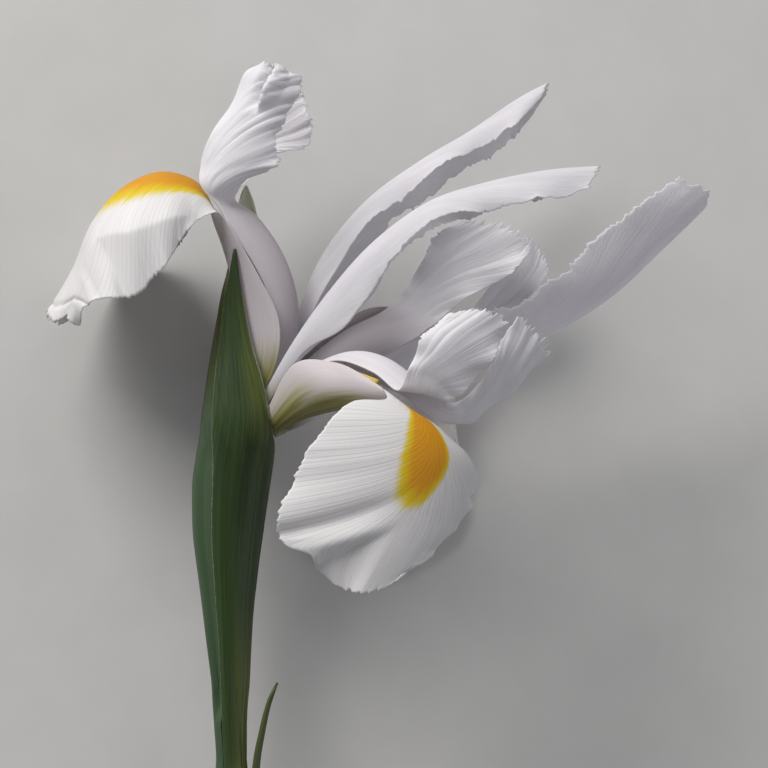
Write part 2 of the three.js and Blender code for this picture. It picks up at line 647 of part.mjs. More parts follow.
addPetal('fall_left', fallLeft, { ...fallSize, edge: fallRuffle(0.4) })
addPetal('fall_front', fallFront, { ...fallSize, edge: fallRuffle(2.1) })
addPetal('fall_back', fallBack, { ...fallSize, edge: fallRuffle(4.4) })
addPetal('standard_upper', standardUpper, { ...standardSize, edge: standardRuffle(0.8) })
addPetal('standard_middle', standardMiddle, { ...standardSize, edge: standardRuffle(3.2) })
addPetal('standard_right', standardRight, { ...standardSize, edge: standardRuffle(5) })
addStyle('style_arm_left', styleLeft, crestRuffle)
addStyle('style_arm_front', styleFront, crestRuffle)
addStyle('style_arm_back', styleBack, crestRuffle)
for (const [name, path] of Object.entries(stamens)) {
  addPiece(name, ringed(stamenRings(path), STAMEN_SIDES, bed), creamy)
}

// The origin is below the middle of the flower.
const box = new THREE.Box3().setFromObject(flower)
const middle = box.getCenter(new THREE.Vector3())
flower.position.set(-middle.x, -middle.y, -box.min.z)

export default flower
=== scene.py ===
import math

import bpy
import numpy as np
from mathutils import Matrix, Vector


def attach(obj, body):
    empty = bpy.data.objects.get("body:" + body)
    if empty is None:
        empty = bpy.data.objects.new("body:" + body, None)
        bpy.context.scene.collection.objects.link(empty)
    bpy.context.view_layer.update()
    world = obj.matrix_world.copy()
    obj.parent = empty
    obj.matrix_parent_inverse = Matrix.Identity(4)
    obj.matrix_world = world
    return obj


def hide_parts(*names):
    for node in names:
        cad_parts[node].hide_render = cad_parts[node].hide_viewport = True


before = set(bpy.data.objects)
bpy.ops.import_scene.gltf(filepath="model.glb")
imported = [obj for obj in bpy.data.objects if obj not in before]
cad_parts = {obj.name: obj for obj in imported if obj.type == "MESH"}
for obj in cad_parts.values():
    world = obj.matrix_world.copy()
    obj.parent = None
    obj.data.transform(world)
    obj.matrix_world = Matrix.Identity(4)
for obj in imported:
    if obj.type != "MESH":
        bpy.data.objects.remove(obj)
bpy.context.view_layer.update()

METRES = 0.001
VIEW_DISTANCE = 750.0
VIEW_CENTRE = np.array([30.4, 76.8])
SENSOR = 36.0
PICTURE_WIDTH = 153.6  # millimetres across the picture at the stem's distance

# How the flower lies, and where the solids' origin is in its frame once it is laid down
REST_PITCH = math.radians(7.4)
REST_ROLL = math.radians(12.4)
LAID_ORIGIN = Vector((-26.06027, -20.91752, 0.0))

STEM_LENGTH = 122.0
STEM_TOP = 22.0
STEM_RADIUS = 3.0
STEM_NECK_RADIUS = 0.9
CUT_SHARE = 0.94  # the cut end's radius beside the stem's
SHEATH_FOOT = -2.0
GAP = 0.3
TUBE_TOP = np.array([5.4, 68.4, 0.0])
TUBE_RADIUS = 4.15
FLOWER_AXIS = np.array([0.656, 0.755, 0.0])
FOOT_HEIGHT = 0.55
FALL_FOOT_RADIUS = 3.9
STANDARD_FOOT_RADIUS = 3.7
STYLE_MARGIN_RADIUS = 2.2
STYLE_RIDGE_RADIUS = 0.9
STAMEN_FOOT_RADIUS = 2.5
FILAMENT_RADIUS = 0.45
ANTHER_RADIUS = 0.9
ANTHER_START = (2.9, 3.2)  # how many points of its line the filament takes up

# The bracts' feet flare and reach down to a collar on the stem. The leaf's foot dips in its middle.
COLLAR_HEIGHT = 4.0
COLLAR_FLARE = 0.17
COLLAR_DROP = 1.1
LEAF_FOOT_DROP = 1.6

# A foot reaches this many degrees to each side of its rib.
FALL_SPREAD = 28
STANDARD_SPREAD = 16
STYLE_SPREAD = 40

# A sheet is this thick in its middle and at its margin.
PETAL_THICKNESS = (0.6, 0.16)
BRACT_THICKNESS = (0.65, 0.3)

# The inner bract's margins lie this deep under the outer one, within these shares of the way round
# and from the first heights to the last.
TUCK = 1.15
TUCKED_SHARE = (0.15, 0.21)
TUCK_START = (9.0, 13.0)
TUCK_END = (62.0, 70.0)

# How finely sheets and tubes are divided
FALL_GRID = (210, 120)
STANDARD_GRID = (190, 72)
ARM_GRID = (40, 160)
LOBE_ROWS = 130
BRACT_GRID = (130, 72)
LEAF_GRID = (110, 28)
STEM_RINGS, STEM_SIDES = 160, 72
OVARY_RINGS, OVARY_SIDES = 90, 48
STAMEN_RINGS, STAMEN_SIDES = 110, 24

# The middle of a sheet lies at least this high over the floor.
LOWEST_MIDDLE = 0.35

# What fray gives on average, so that teeth leave a sheet as wide as it is
FRAY_MEAN = 0.4

stem_foot = np.array([0.0, STEM_TOP - STEM_LENGTH, 0.0])
lay = Matrix.Rotation(-REST_ROLL, 4, "Y") @ Matrix.Rotation(REST_PITCH, 4, "X")
down = lay.to_3x3().transposed() @ Vector((0.0, 0.0, -1.0))
rim = Vector((down.x, 0.0, down.z)).normalized() * STEM_RADIUS + Vector(stem_foot)
bed = Matrix.Translation((0.0, 0.0, -(lay @ rim).z)) @ lay
bed = Matrix.Translation(LAID_ORIGIN) @ bed
bed_array = np.array(bed)


# Points and curves


def laid(points):
    """Points of the flower's frame, laid down, still in millimetres."""
    return points @ bed_array[:3, :3].T + bed_array[:3, 3]


def seen(points):
    """The real places of points whose x and y are as seen from above."""
    points = np.array(points, float)
    nearer = (VIEW_DISTANCE - points[..., 2:3]) / VIEW_DISTANCE
    points[..., :2] = VIEW_CENTRE + (points[..., :2] - VIEW_CENTRE) * nearer
    return points


def on_curve(points, share, before=None, after=None):
    """Places on the smooth curve through the points, at shares from 0 to 1 of its length."""
    points = np.asarray(points, float)
    share = np.asarray(share, float)
    last = len(points) - 1
    start = 2 * points[0] - points[1] if before is None else before
    end = 2 * points[last] - points[last - 1] if after is None else after
    line = np.vstack([[start], points, [end]])
    span = np.clip(np.floor(share * last).astype(int), 0, last - 1)
    t = (share * last - span)[..., None]
    a, b, c, d = (line[span + step] for step in range(4))
    rise = (c - a) / 2
    fall = (d - b) / 2
    square = 3 * (c - b) - 2 * rise - fall
    cube = 2 * (b - c) + rise + fall
    return b + t * (rise + t * (square + t * cube))


def whorl(degrees, radius, height=0.0):
    """A place round the flower's axis. Angle 0 is the left fall, 120 the front and 240 the back."""
    angle = math.radians(degrees)
    ax, ay, _ = FLOWER_AXIS
    outward = np.array([-ay * math.cos(angle), ax * math.cos(angle), math.sin(angle)])
    return TUBE_TOP + outward * radius + FLOWER_AXIS * height


def foot(degrees, spread, radius, rib_radius=None):
    """The foot of a petal on the tube's top: left edge, rib and right edge."""
    rib_radius = radius if rib_radius is None else rib_radius
    return [
        whorl(degrees - spread, radius, FOOT_HEIGHT),
        whorl(degrees, rib_radius, FOOT_HEIGHT),
        whorl(degrees + spread, radius, FOOT_HEIGHT),
    ]


def smoothstep(value, low, high):
    t = np.clip((value - low) / (high - low), 0, 1)
    return t * t * (3 - 2 * t)


def ripple(place, seed):
    """Smooth noise from -1 to 1 along a line, about one swell to each unit."""
    knots = np.random.default_rng(seed).uniform(-1, 1, 512)
    place = np.asarray(place, float) + 100
    cell = np.floor(place).astype(int)
    t = place - cell
    t = t * t * (3 - 2 * t)
    return knots[cell % 512] * (1 - t) + knots[(cell + 1) % 512] * t


def rough(place, seed, layers=3):
    """Several ripples, each finer and smaller than the one before."""
    return sum(ripple(place * 2.1**i, seed + i) * 0.55**i for i in range(layers))


# Sheets


def surface(stations, along, across, before=None, after=None):
    """Places on a sheet: across, the parabola through the left edge, the rib and the right edge."""
    stations = np.asarray(stations, float)
    ends = [(None if e is None else np.asarray(e, float)) for e in (before, after)]
    rails = []
    for rail in range(3):
        beyond = [None if e is None else e[rail] for e in ends]
        rails.append(on_curve(stations[:, rail], along, *beyond))
    left, rib, right = rails
    across = across[..., None]
    return rib + across * (right - left) / 2 + across**2 * ((left + right) / 2 - rib)


def grid_of(rows, columns):
    """The shares along and across of a sheet's grid."""
    return np.meshgrid(np.linspace(0, 1, rows + 1), np.linspace(-1, 1, columns + 1), indexing="ij")


def grid_normals(points):
    """The normals of a grid of points."""
    normal = np.cross(np.gradient(points, axis=0), np.gradient(points, axis=1))
    length = np.linalg.norm(normal, axis=-1, keepdims=True)
    return normal / np.maximum(length, 1e-9)


class Sheet:
    """Points joined in grids, with a thickness and some named values at each point."""

    def __init__(self):
        self.points = []
        self.values = {}
        self.quads = []
        self.count = 0

    def add(self, points, values, first_row=None):
        """Adds a grid and returns its numbering. first_row numbers points that are there already."""
        rows, columns = points.shape[:2]
        skip = 0 if first_row is None else 1
        number = np.arange((rows - skip) * columns).reshape(rows - skip, columns) + self.count
        if first_row is not None:
            number = np.vstack([[first_row], number])
        self.points.append(points[skip:].reshape(-1, 3))
        for name, value in values.items():
            self.values.setdefault(name, []).append(value[skip:].reshape(-1))
        self.count += (rows - skip) * columns
        corners = [number[:-1, :-1], number[:-1, 1:], number[1:, 1:], number[1:, :-1]]
        self.quads.append(np.stack(corners, axis=-1).reshape(-1, 4))
        return number

    def whole(self):
        points = np.vstack(self.points)
        values = {name: np.concatenate(parts) for name, parts in self.values.items()}
        return points, values, np.vstack(self.quads)


def vertex_normals(points, quads):
    a, b, c, d = (points[quads[:, i]] for i in range(4))
    face = np.cross(c - a, d - b)
    normals = np.zeros_like(points)
    for corner in range(4):
        np.add.at(normals, quads[:, corner], face)
    return normals / np.maximum(np.linalg.norm(normals, axis=1, keepdims=True), 1e-12)


def free_edges(quads):
    """The edges that only one face has, in that face's direction."""
    edges = np.vstack([quads[:, [i, (i + 1) % 4]] for i in range(4)])
    edges = edges[edges[:, 0] != edges[:, 1]]
    key = edges[:, 0] * (quads.max() + 1) + edges[:, 1]
    back = edges[:, 1] * (quads.max() + 1) + edges[:, 0]
    return edges[~np.isin(key, back)]


def new_piece(name, node, points, faces, values, material):
    """A smooth mesh from points in millimetres. It stands for a node and rides on the root."""
    mesh = bpy.data.meshes.new(name)
    mesh.from_pydata((points * METRES).tolist(), [], faces)
    for key, value in values.items():
        mesh.attributes.new(key, "FLOAT", "POINT").data.foreach_set("value", value.astype(np.float32))
    mesh.polygons.foreach_set("use_smooth", [True] * len(mesh.polygons))
    mesh.materials.append(material)
    mesh.update()
    piece = bpy.data.objects.new(name, mesh)
    bpy.context.scene.collection.objects.link(piece)
    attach(piece, "root")
    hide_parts(node)
    return piece


def thick_piece(name, node, sheet, material, hidden=None):
    """A closed piece from a sheet. hidden gives the values that its first face has instead."""
    points, values, quads = sheet.whole()
    thickness = values.pop("thickness")[:, None]
    points = laid(points)
    points[:, 2] = np.maximum(points[:, 2], LOWEST_MIDDLE)
    normals = vertex_normals(points, quads)
    both = np.vstack([points + normals * thickness / 2, points - normals * thickness / 2])
    count = len(points)
    edges = free_edges(quads)
    walls = np.stack([edges[:, 1], edges[:, 0], edges[:, 0] + count, edges[:, 1] + count], axis=-1)
    faces = np.vstack([quads, quads[:, ::-1] + count, walls])
    shares = {}
    for key, value in values.items():
        first = (hidden or {}).get(key, value)
        shares[key] = np.concatenate([np.broadcast_to(first, value.shape), value])
    shares["inner"] = np.concatenate([np.zeros(count), np.ones(count)])
    return new_piece(name, node, both, faces.tolist(), shares, material)


# Materials


class Shader:
    """A material's nodes, made one after another."""

    def __init__(self, name):
        self.material = bpy.data.materials.new(name)
        self.material.use_nodes = True
        self.nodes = self.material.node_tree.nodes
        self.links = self.material.node_tree.links
        self.bsdf = self.nodes["Principled BSDF"]
        self.output = self.nodes["Material Output"]

    def put(self, kind, inputs=None, **settings):
        """A node with its settings. An input is a number, a colour or another node's output."""
        node = self.nodes.new(kind)
        for key, value in settings.items():
            setattr(node, key, value)
        for key, value in (inputs or {}).items():
            self.feed(node.inputs[key], value)
        return node

    def feed(self, socket, value):
        if isinstance(value, bpy.types.NodeSocket):
            self.links.new(value, socket)
        elif isinstance(value, tuple) and len(value) == 3 and socket.type == "RGBA":
            socket.default_value = (*value, 1.0)
        else:
            socket.default_value = value

    def read(self, name):
        """A named value of the mesh."""
        return self.put("ShaderNodeAttribute", attribute_name=name).outputs["Fac"]

    def math(self, operation, first, second=0.0, third=0.0):
        node = self.put("ShaderNodeMath", operation=operation)
        for socket, value in zip(node.inputs, (first, second, third)):
            self.feed(socket, value)
        return node.outputs[0]

    def times(self, first, second):
        return self.math("MULTIPLY", first, second)

    def varied(self, value, noise, weight):
        """The value, raised or lowered by the noise."""
        return self.math("MULTIPLY_ADD", self.math("SUBTRACT", noise, 0.5), weight, value)

    def ranged(self, value, low, high, to_low=0.0, to_high=1.0):
        """The value's share of its range, with soft ends, taken to another range."""
        inputs = {"Value": value, "From Min": low, "From Max": high}
        inputs |= {"To Min": to_low, "To Max": to_high}
        return self.put("ShaderNodeMapRange", inputs, interpolation_type="SMOOTHSTEP").outputs[0]

    def mix(self, share, first, second):
        """One colour over another."""
        node = self.put("ShaderNodeMix", data_type="RGBA")
        self.feed(node.inputs["Factor"], share)
        self.feed(node.inputs[6], first)
        self.feed(node.inputs[7], second)
        return node.outputs[2]

    def streaks(self, place, scale, stretch, detail=3.0):
        """Noise drawn out in lines: place is (across, along), scale the lines, stretch their length."""
        x = self.times(place[0], scale)
        y = self.times(place[1], stretch)
        spot = self.put("ShaderNodeCombineXYZ", {"X": x, "Y": y, "Z": place[2]}).outputs[0]
        inputs = {"Vector": spot, "Scale": 1.0, "Detail": detail, "Roughness": 0.55}
        return self.put("ShaderNodeTexNoise", inputs).outputs["Fac"]

    def forks(self, vein, level):
        """The veins before and after they last forked: (place, number of forks, share) of each."""
        whole = self.math("FLOOR", level)
        part = self.math("SUBTRACT", level, whole)
        found = []
        for step, share in enumerate((self.math("SUBTRACT", 1.0, part), part)):
            doubled = self.math("ADD", whole, float(step))
            place = self.times(vein, self.math("POWER", 2.0, doubled))
            found.append((place, doubled, share))
        return found

    def blended(self, values, forks):
        """The values of both forks, each in its share."""
        first, second = (self.times(value, fork[2]) for value, fork in zip(values, forks))
        return self.math("ADD", first, second)

    def vein_lines(self, forks, run, count):
        """1 on a vein and 0 between. Veins fork into two wherever they have spread to twice as far."""
        lines = []
        for place, doubled, _ in forks:
            lanes = self.times(place, count)
            wander = self.streaks((lanes, run, doubled), 0.35, 1.6, detail=1.0)
            lanes = self.math("MULTIPLY_ADD", wander, 1.6, lanes)
            away = self.times(self.math("PINGPONG", lanes, 0.5), 2.0)
            lines.append(self.ranged(away, 0.0, 0.45, 1.0, 0.0))
        return self.blended(lines, forks)

    def vein_streaks(self, forks, run, scale, stretch):
        """Noise drawn out along the veins."""
        noise = [self.streaks((place, run, doubled), scale, stretch) for place, doubled, _ in forks]
        return self.blended(noise, forks)

    def grain(self, scale, detail=3.0):
        """Noise in the object's own space, with scale in swells to the metre."""
        place = self.put("ShaderNodeTexCoord").outputs["Object"]
        inputs = {"Vector": place, "Scale": scale, "Detail": detail, "Roughness": 0.6}
        return self.put("ShaderNodeTexNoise", inputs).outputs["Fac"]

    def finish(self, colour, roughness, height, strength, distance, through=0.0, sheen=0.0):
        """Joins colour, roughness and bump to the shader, with light let through a thin sheet."""
        bump = self.put("ShaderNodeBump", {"Height": height, "Strength": strength})
        bump.inputs["Distance"].default_value = distance
        self.feed(self.bsdf.inputs["Base Color"], colour)
        self.feed(self.bsdf.inputs["Roughness"], roughness)
        self.feed(self.bsdf.inputs["Normal"], bump.outputs[0])
        self.bsdf.inputs["Sheen Weight"].default_value = sheen
        if through:
            behind = self.put("ShaderNodeBsdfTranslucent", {"Color": colour, "Normal": bump.outputs[0]})
            both = self.put("ShaderNodeMixShader", {0: through})
            self.links.new(self.bsdf.outputs[0], both.inputs[1])
            self.links.new(behind.outputs[0], both.inputs[2])
            self.links.new(both.outputs[0], self.output.inputs["Surface"])
        return self.material


PETAL_WHITE = (0.80, 0.785, 0.785)
PETAL_LILAC = (0.80, 0.785, 0.825)
PETAL_SHADE = (0.60, 0.575, 0.62)
PETAL_LIT = (0.90, 0.89, 0.895)
PETAL_VEIN = (0.44, 0.42, 0.47)
# Painted shade: the grey-pink that stands for the warm shade on the hafts and style arms
PETAL_PAINTED_SHADE = (0.60, 0.52, 0.555)
SIGNAL_YELLOW = (0.74, 0.58, 0.008)
SIGNAL_ORANGE = (0.72, 0.33, 0.003)
SIGNAL_DEEP = (0.56, 0.20, 0.002)
HAFT_GREEN = (0.23, 0.22, 0.038)
HAFT_PALE = (0.45, 0.43, 0.19)
BRACT_DARK = (0.014, 0.034, 0.006)
BRACT_GREEN = (0.032, 0.064, 0.010)
BRACT_RIB = (0.056, 0.098, 0.018)
# Painted light: the lighter blue-green of the bracts' lit left sides
BRACT_PAINTED_LIGHT = (0.062, 0.112, 0.054)
BRACT_OLIVE = (0.13, 0.155, 0.026)
BRACT_PAPER = (0.66, 0.67, 0.52)
STEM_DARK = (0.030, 0.055, 0.016)
STEM_GREEN = (0.060, 0.095, 0.028)
STEM_OLIVE = (0.17, 0.17, 0.04)
PITH_GREEN = (0.22, 0.27, 0.11)
PITH_PALE = (0.52, 0.55, 0.34)
FILAMENT_LILAC = (0.62, 0.60, 0.66)
FILAMENT_PALE = (0.78, 0.77, 0.80)
POLLEN_DARK = (0.42, 0.28, 0.04)
POLLEN_PALE = (0.60, 0.45, 0.12)
FLOOR_DARK = (0.54, 0.535, 0.525)
FLOOR_PALE = (0.56, 0.555, 0.545)


def petal_material(name, vein_count, base=PETAL_WHITE, shade=1.0, through=0.3):
    """White petal tissue: fine veins, a paler edge, a green foot and a yellow signal.

    It reads the mesh's values: vein across the veins, level (how often their lines have doubled),
    run along them, inner (1 on the inner face), edge (1 at the margin), blush (the share of a painted
    shade, greyer and pinker, for the shade on the hafts and style arms), green (the share of the foot's
    colour) and signal (over 0 inside the yellow patch).
    """
    made = Shader(name)
    vein, level, run = made.read("vein"), made.read("level"), made.read("run")
    face = made.read("inner")
    forks = made.forks(made.math("ADD", vein, made.times(face, 3.0)), level)
    lines = made.vein_lines(forks, run, vein_count)
    fine = made.vein_streaks(forks, run, vein_count * 1.1, 2.0)
    broad = made.vein_streaks(forks, run, vein_count * 0.22, 1.3)
    edge = made.read("edge")
    tone = made.ranged(fine, 0.3, 0.7)
    white = made.mix(made.times(tone, 0.4), base, PETAL_LIT)
    white = made.mix(made.ranged(broad, 0.35, 0.75, 0.0, 0.3), white, PETAL_SHADE)
    white = made.mix(made.times(lines, 0.22 * shade), white, PETAL_VEIN)
    white = made.mix(made.times(edge, 0.3), white, PETAL_LIT)
    # Painted shade: the hafts and style arms turn greyer and pinker, for the shade they lie in
    white = made.mix(made.read("painted_shade"), white, PETAL_PAINTED_SHADE)
    green_tone = made.mix(made.ranged(broad, 0.35, 0.65), HAFT_GREEN, HAFT_PALE)
    feathered = made.varied(made.read("green"), fine, 0.5)
    white = made.mix(made.ranged(feathered, 0.1, 0.9), white, green_tone)
    comb = made.varied(made.read("signal"), fine, 0.3)
    patch = made.mix(made.ranged(comb, 0.08, 0.34), SIGNAL_YELLOW, SIGNAL_ORANGE)
    deep = made.times(lines, made.ranged(comb, 0.15, 0.5))
    patch = made.mix(made.times(deep, 0.5), patch, SIGNAL_DEEP)
    colour = made.mix(made.ranged(comb, -0.05, 0.13), white, patch)
    grain = made.grain(5200.0)
    height = made.math("MULTIPLY_ADD", lines, -0.8, made.times(fine, 0.6))
    height = made.math("MULTIPLY_ADD", grain, 0.25, height)
    roughness = made.ranged(grain, 0.3, 0.7, 0.54, 0.72)
    return made.finish(colour, roughness, height, 0.16, 0.0003, through=through, sheen=0.04)


def fibres(made, scale, stretch, detail=2.0):
    """Lines that lie side by side across the mesh's value vein and follow its value run."""
    place = (made.read("vein"), made.read("run"), made.read("inner"))
    return made.streaks(place, scale, stretch, detail)


def ribbed_finish(made, colour, ribs, grain, roughness, strength, through=0.0):
    """The ribs and the grain stand out, and the gloss follows the grain."""
    height = made.math("MULTIPLY_ADD", ribs, 1.0, made.times(grain, 0.3))
    gloss = made.ranged(grain, 0.3, 0.7, *roughness)
    return made.finish(colour, gloss, height, strength, 0.0002, through=through)


def bract_material(name):
    """Green sheath tissue with fine ribs and a pale, papery margin.

    Besides the fibres' values it reads pale, light and olive, the shares of paper, painted light (a lighter
    blue-green where the soft light falls) and olive.
    """
    made = Shader(name)
    ribs = fibres(made, 46.0, 0.7)
    broad = fibres(made, 9.0, 0.9, detail=3.0)
    grain = made.grain(2600.0)
    green = made.mix(made.ranged(broad, 0.3, 0.7), BRACT_DARK, BRACT_GREEN)
    green = made.mix(made.ranged(ribs, 0.45, 0.7, 0.0, 0.5), green, BRACT_RIB)
    # Painted light: a lighter blue-green where the soft light falls from the left
    green = made.mix(made.read("light"), green, BRACT_PAINTED_LIGHT)
    green = made.mix(made.read("olive"), green, BRACT_OLIVE)
    blotch = made.varied(made.read("pale"), grain, 0.5)
    colour = made.mix(made.ranged(blotch, 0.25, 0.75), green, BRACT_PAPER)
    return ribbed_finish(made, colour, ribs, grain, (0.38, 0.52), 0.5, through=0.2)


def stem_material(name):
    """The round stem: green with long fine ribs, and pale pith where it is cut."""
    made = Shader(name)
    ribs = fibres(made, 30.0, 0.6)
    grain = made.grain(2400.0)
    green = made.mix(made.ranged(ribs, 0.35, 0.7), STEM_DARK, STEM_GREEN)
    green = made.mix(made.read("olive"), green, STEM_OLIVE)
    pith = made.mix(made.ranged(grain, 0.35, 0.65), PITH_GREEN, PITH_PALE)
    colour = made.mix(made.read("cut"), green, pith)
    return ribbed_finish(made, colour, ribs, grain, (0.36, 0.5), 0.4)


def stamen_material(name):
    """A pale filament and a long mealy anther."""
    made = Shader(name)
    grain = made.grain(3600.0)
    lilac = made.mix(made.ranged(grain, 0.3, 0.7), FILAMENT_LILAC, FILAMENT_PALE)
    pollen = made.mix(made.ranged(grain, 0.35, 0.65), POLLEN_DARK, POLLEN_PALE)
    colour = made.mix(made.read("anther"), lilac, pollen)
    return made.finish(colour, made.ranged(grain, 0.3, 0.7, 0.55, 0.8), grain, 0.6, 0.0003)


def floor_material(name):
    """A plain pale matt floor."""
    made = Shader(name)
    grain = made.grain(60.0)
    colour = made.mix(made.ranged(grain, 0.3, 0.7), FLOOR_DARK, FLOOR_PALE)
    return made.finish(colour, 0.85, grain, 0.1, 0.0002)


petal_white = petal_material("petal_white", 22.0)
crest_white = petal_material("crest_white", 26.0, PETAL_LILAC, shade=0.5)
standard_white = petal_material("standard_white", 20.0, PETAL_LILAC, shade=0.5, through=0.45)
bract_green = bract_material("bract_green")
stem_green = stem_material("stem_green")
stamen_cream = stamen_material("stamen_cream")


# Petals


def margin_of(across, power):
    return np.abs(across) ** power


def ruffle(along, across, waves, height, start, turn):
    """How far the margin waves, as the solid's does."""
    side = np.where(across < 0, 1.3, 0.0)
    open_share = smoothstep(along, start, start + 0.25)
    return height * open_share * margin_of(across, 3) * np.sin(2 * math.pi * waves * along + side + turn)


def fray(place, seed):
    """Broken, uneven teeth along a margin, from 0 to about 1."""
    broad = np.abs(ripple(place, seed))
    fine = np.abs(ripple(place * 3.7, seed + 1))
    finest = np.abs(ripple(place * 9.1, seed + 2))
    return 0.5 * broad + 0.35 * fine + 0.25 * finest


def thickness_at(rim, sizes):
    """Full in the middle of a sheet and thin where rim is 1."""
    middle, margin = sizes
    return middle + (margin - middle) * np.clip(rim, 0, 1)


def bump_at(value, middle, width):
    """A single smooth swell."""
    return np.exp(-(((value - middle) / width) ** 2))


def layered(place, level, count, seed):
    """Noise across the veins that doubles its lines wherever they have spread to twice as far."""
    total = 0
    for step in range(math.ceil(level.max()) + 1):
        share = np.clip(1 - np.abs(level - step), 0, 1)
        total = total + share * ripple(place * count * 2.0**step, seed + step)
    return total


def opened(along, start, end, rate, slow):
    """How far veins have opened out at each share of the length, and how fast they do."""
    steps = np.linspace(0, 1, 401)
    fast = 1 - smoothstep(steps, end - 0.08, end + 0.08)
    rates = smoothstep(steps, start - 0.04, start + 0.04) * (slow + (rate - slow) * fast)
    total = np.cumsum(rates) * (steps[1] - steps[0])
    return np.interp(along, steps, total), np.interp(along, steps, rates)


def fan(along, across, veins):
    """The veins' own coordinate, the same along each one, and how far they have spread, in doublings.

    They run straight up to start, then open out from the hinge, a place across the sheet. veins
    gives start, end, the rates of either side, the rate beyond the end, the hinge and the sheet's
    half width as a share of its length.
    """
    start, end, left, right, slow, hinge, width = veins
    sides = [opened(along, start, end, rate, slow) for rate in (left, right)]
    total = np.where(across < hinge, sides[0][0], sides[1][0])
    rate = np.where(across < hinge, sides[0][1], sides[1][1])
    slant = np.abs(across - hinge) * rate * width
    level = (total - 0.5 * np.log(1 + slant**2)) / math.log(2)
    return hinge + (across - hinge) * np.exp(-total), np.clip(level, 0, None)


# The stations of every sheet, as in the solids

fall_left = [
    foot(0, FALL_SPREAD, FALL_FOOT_RADIUS),
    [[7.8, 79.4, -4.4], [1, 79, 0], [8.6, 80, 5]],
    [[9.4, 89.6, -6.2], [0.6, 88, 0], [9.4, 89.6, 6.2]],
    [[5.4, 98.4, -6.6], [0.2, 97, 0], [5.2, 98.6, 6.6]],
    [[2, 104.6, -6.8], [-1.6, 104, 0], [1.8, 104.6, 6.8]],
    [[-1.8, 110.2, -7.4], [-3.4, 109, 0], [-1.8, 110.2, 7.4]],
    [[-4.6, 111.8, -9], [-5.2, 114.6, 0], [-4.4, 110.8, 9.2]],
    [[-7, 110.5, -13], [-8.6, 117.8, 0], [-8, 108.8, 12.5]],
    [[-10, 105.6, -19.5], [-15, 118.9, 0], [-12, 103.2, 17]],
    [[-15, 100.4, -25], [-22.4, 115.4, 0], [-17.6, 98, 19.5]],
    [[-22, 96.8, -23.7], [-28, 108.6, 0], [-24.4, 95.2, 19.5]],
    [[-28, 93.6, -17], [-31.8, 99.6, 0], [-28.8, 92.8, 15]],
    [[-34, 88.6, -9], [-37.4, 90.4, 0], [-30, 89, 9]]
]

fall_front = [
    foot(120, FALL_SPREAD, FALL_FOOT_RADIUS),
    [[12, 80.4, 11.5], [14.8, 74.6, 15], [14, 69.6, 9.5]],
    [[20, 81.2, 17.5], [22.6, 76, 22], [21.6, 71.6, 17]],
    [[26.4, 78.4, 25], [29, 75, 28.5], [28.2, 72.2, 23.5]],
    [[31, 74, 32.5], [36.6, 71, 33.5], [41.2, 67.6, 27]],
    [[23.6, 73, 35.5], [39.6, 67.6, 35.5], [42.6, 65.8, 28]],
    [[16.2, 65.4, 37.5], [40.4, 62.6, 36.5], [46.4, 62.4, 27]],
    [[12.2, 57.8, 38.5], [38.6, 57, 37], [49, 57.6, 27]],
    [[9, 49.6, 39], [35, 50.6, 37.5], [47.4, 50.8, 29]],
    [[11, 44, 38.5], [30.8, 43.4, 38], [40.8, 44.6, 33]],
    [[18.4, 37.4, 38], [26, 35, 38], [33.8, 38, 36.5]]
]

fall_back = [
    foot(240, FALL_SPREAD, FALL_FOOT_RADIUS),
    [[14.6, 70.2, -8.5], [15, 75, -14], [12.2, 80.4, -10.5]],
    [[22.8, 76, -15], [23.4, 81.6, -20.5], [20.6, 88.4, -15.5]],
    [[31, 80, -19.5], [31.5, 86, -25.5], [28.4, 92.2, -21]],
    [[40.4, 81.6, -22.2], [38.4, 87, -27.5], [35.4, 91, -26]],
    [[45.4, 81, -23], [42.6, 83, -29.4], [30.6, 86.6, -31]],
    [[43.6, 74.6, -25.5], [42, 75.6, -30.6], [27, 80, -31]],
    [[44.8, 67.4, -27], [40.6, 67.6, -31.6], [24, 72, -29.8]],
    [[45.6, 60, -30], [38, 60, -31.6], [18, 63, -27]],
    [[46, 52.6, -30.5], [34.6, 52.6, -30.2], [13.6, 54.4, -25]],
    [[41.6, 46, -29.4], [30.6, 45.4, -28.2], [13.6, 46.6, -23.8]],
    [[33.8, 40, -26.5], [27, 38, -25.6], [19.8, 40, -24]]
]

standard_upper = [
    foot(300, STANDARD_SPREAD, STANDARD_FOOT_RADIUS),
    [[14.6, 83.4, -9.4], [11.2, 84.6, -8.4], [12.6, 83.4, -4.8]],
    [[22, 95.4, -14], [17.6, 101, -10.4], [18.6, 96, -4.6]],
    [[30.8, 107.6, -18], [26.6, 112.8, -14], [27.6, 108.6, -8]],
    [[38.2, 113.8, -21.6], [37.6, 121, -18], [37.4, 117, -12]],
    [[47.6, 119.8, -24.4], [47.6, 127, -21], [47, 122.8, -15]],
    [[56.2, 126.1, -26], [56.6, 133.2, -23], [55.6, 127.6, -18]],
    [[62.6, 134.2, -25], [63.2, 137, -23.6], [61.6, 134, -21]]
]

standard_middle = [
    foot(60, STANDARD_SPREAD, STANDARD_FOOT_RADIUS),
    [[13, 81, 4.4], [11.4, 83.4, 6.5], [14, 82.8, 8.2]],
    [[25, 92, 4.6], [19.6, 95.2, 9], [22.6, 88.2, 13]],
    [[34.6, 103.2, 8], [28.8, 105.4, 13], [29.6, 98.8, 17.6]],
    [[43.6, 108.2, 11], [39.6, 113, 16.4], [40.6, 109.8, 21.4]],
    [[52, 111.6, 14], [50.6, 116.8, 19], [51, 111.4, 23.6]],
    [[62, 114.8, 17], [62.4, 119.2, 21], [61.8, 112.9, 24.4]],
    [[71.6, 118, 19.6], [73.4, 120.2, 21.4], [71.2, 115.7, 23]]
]

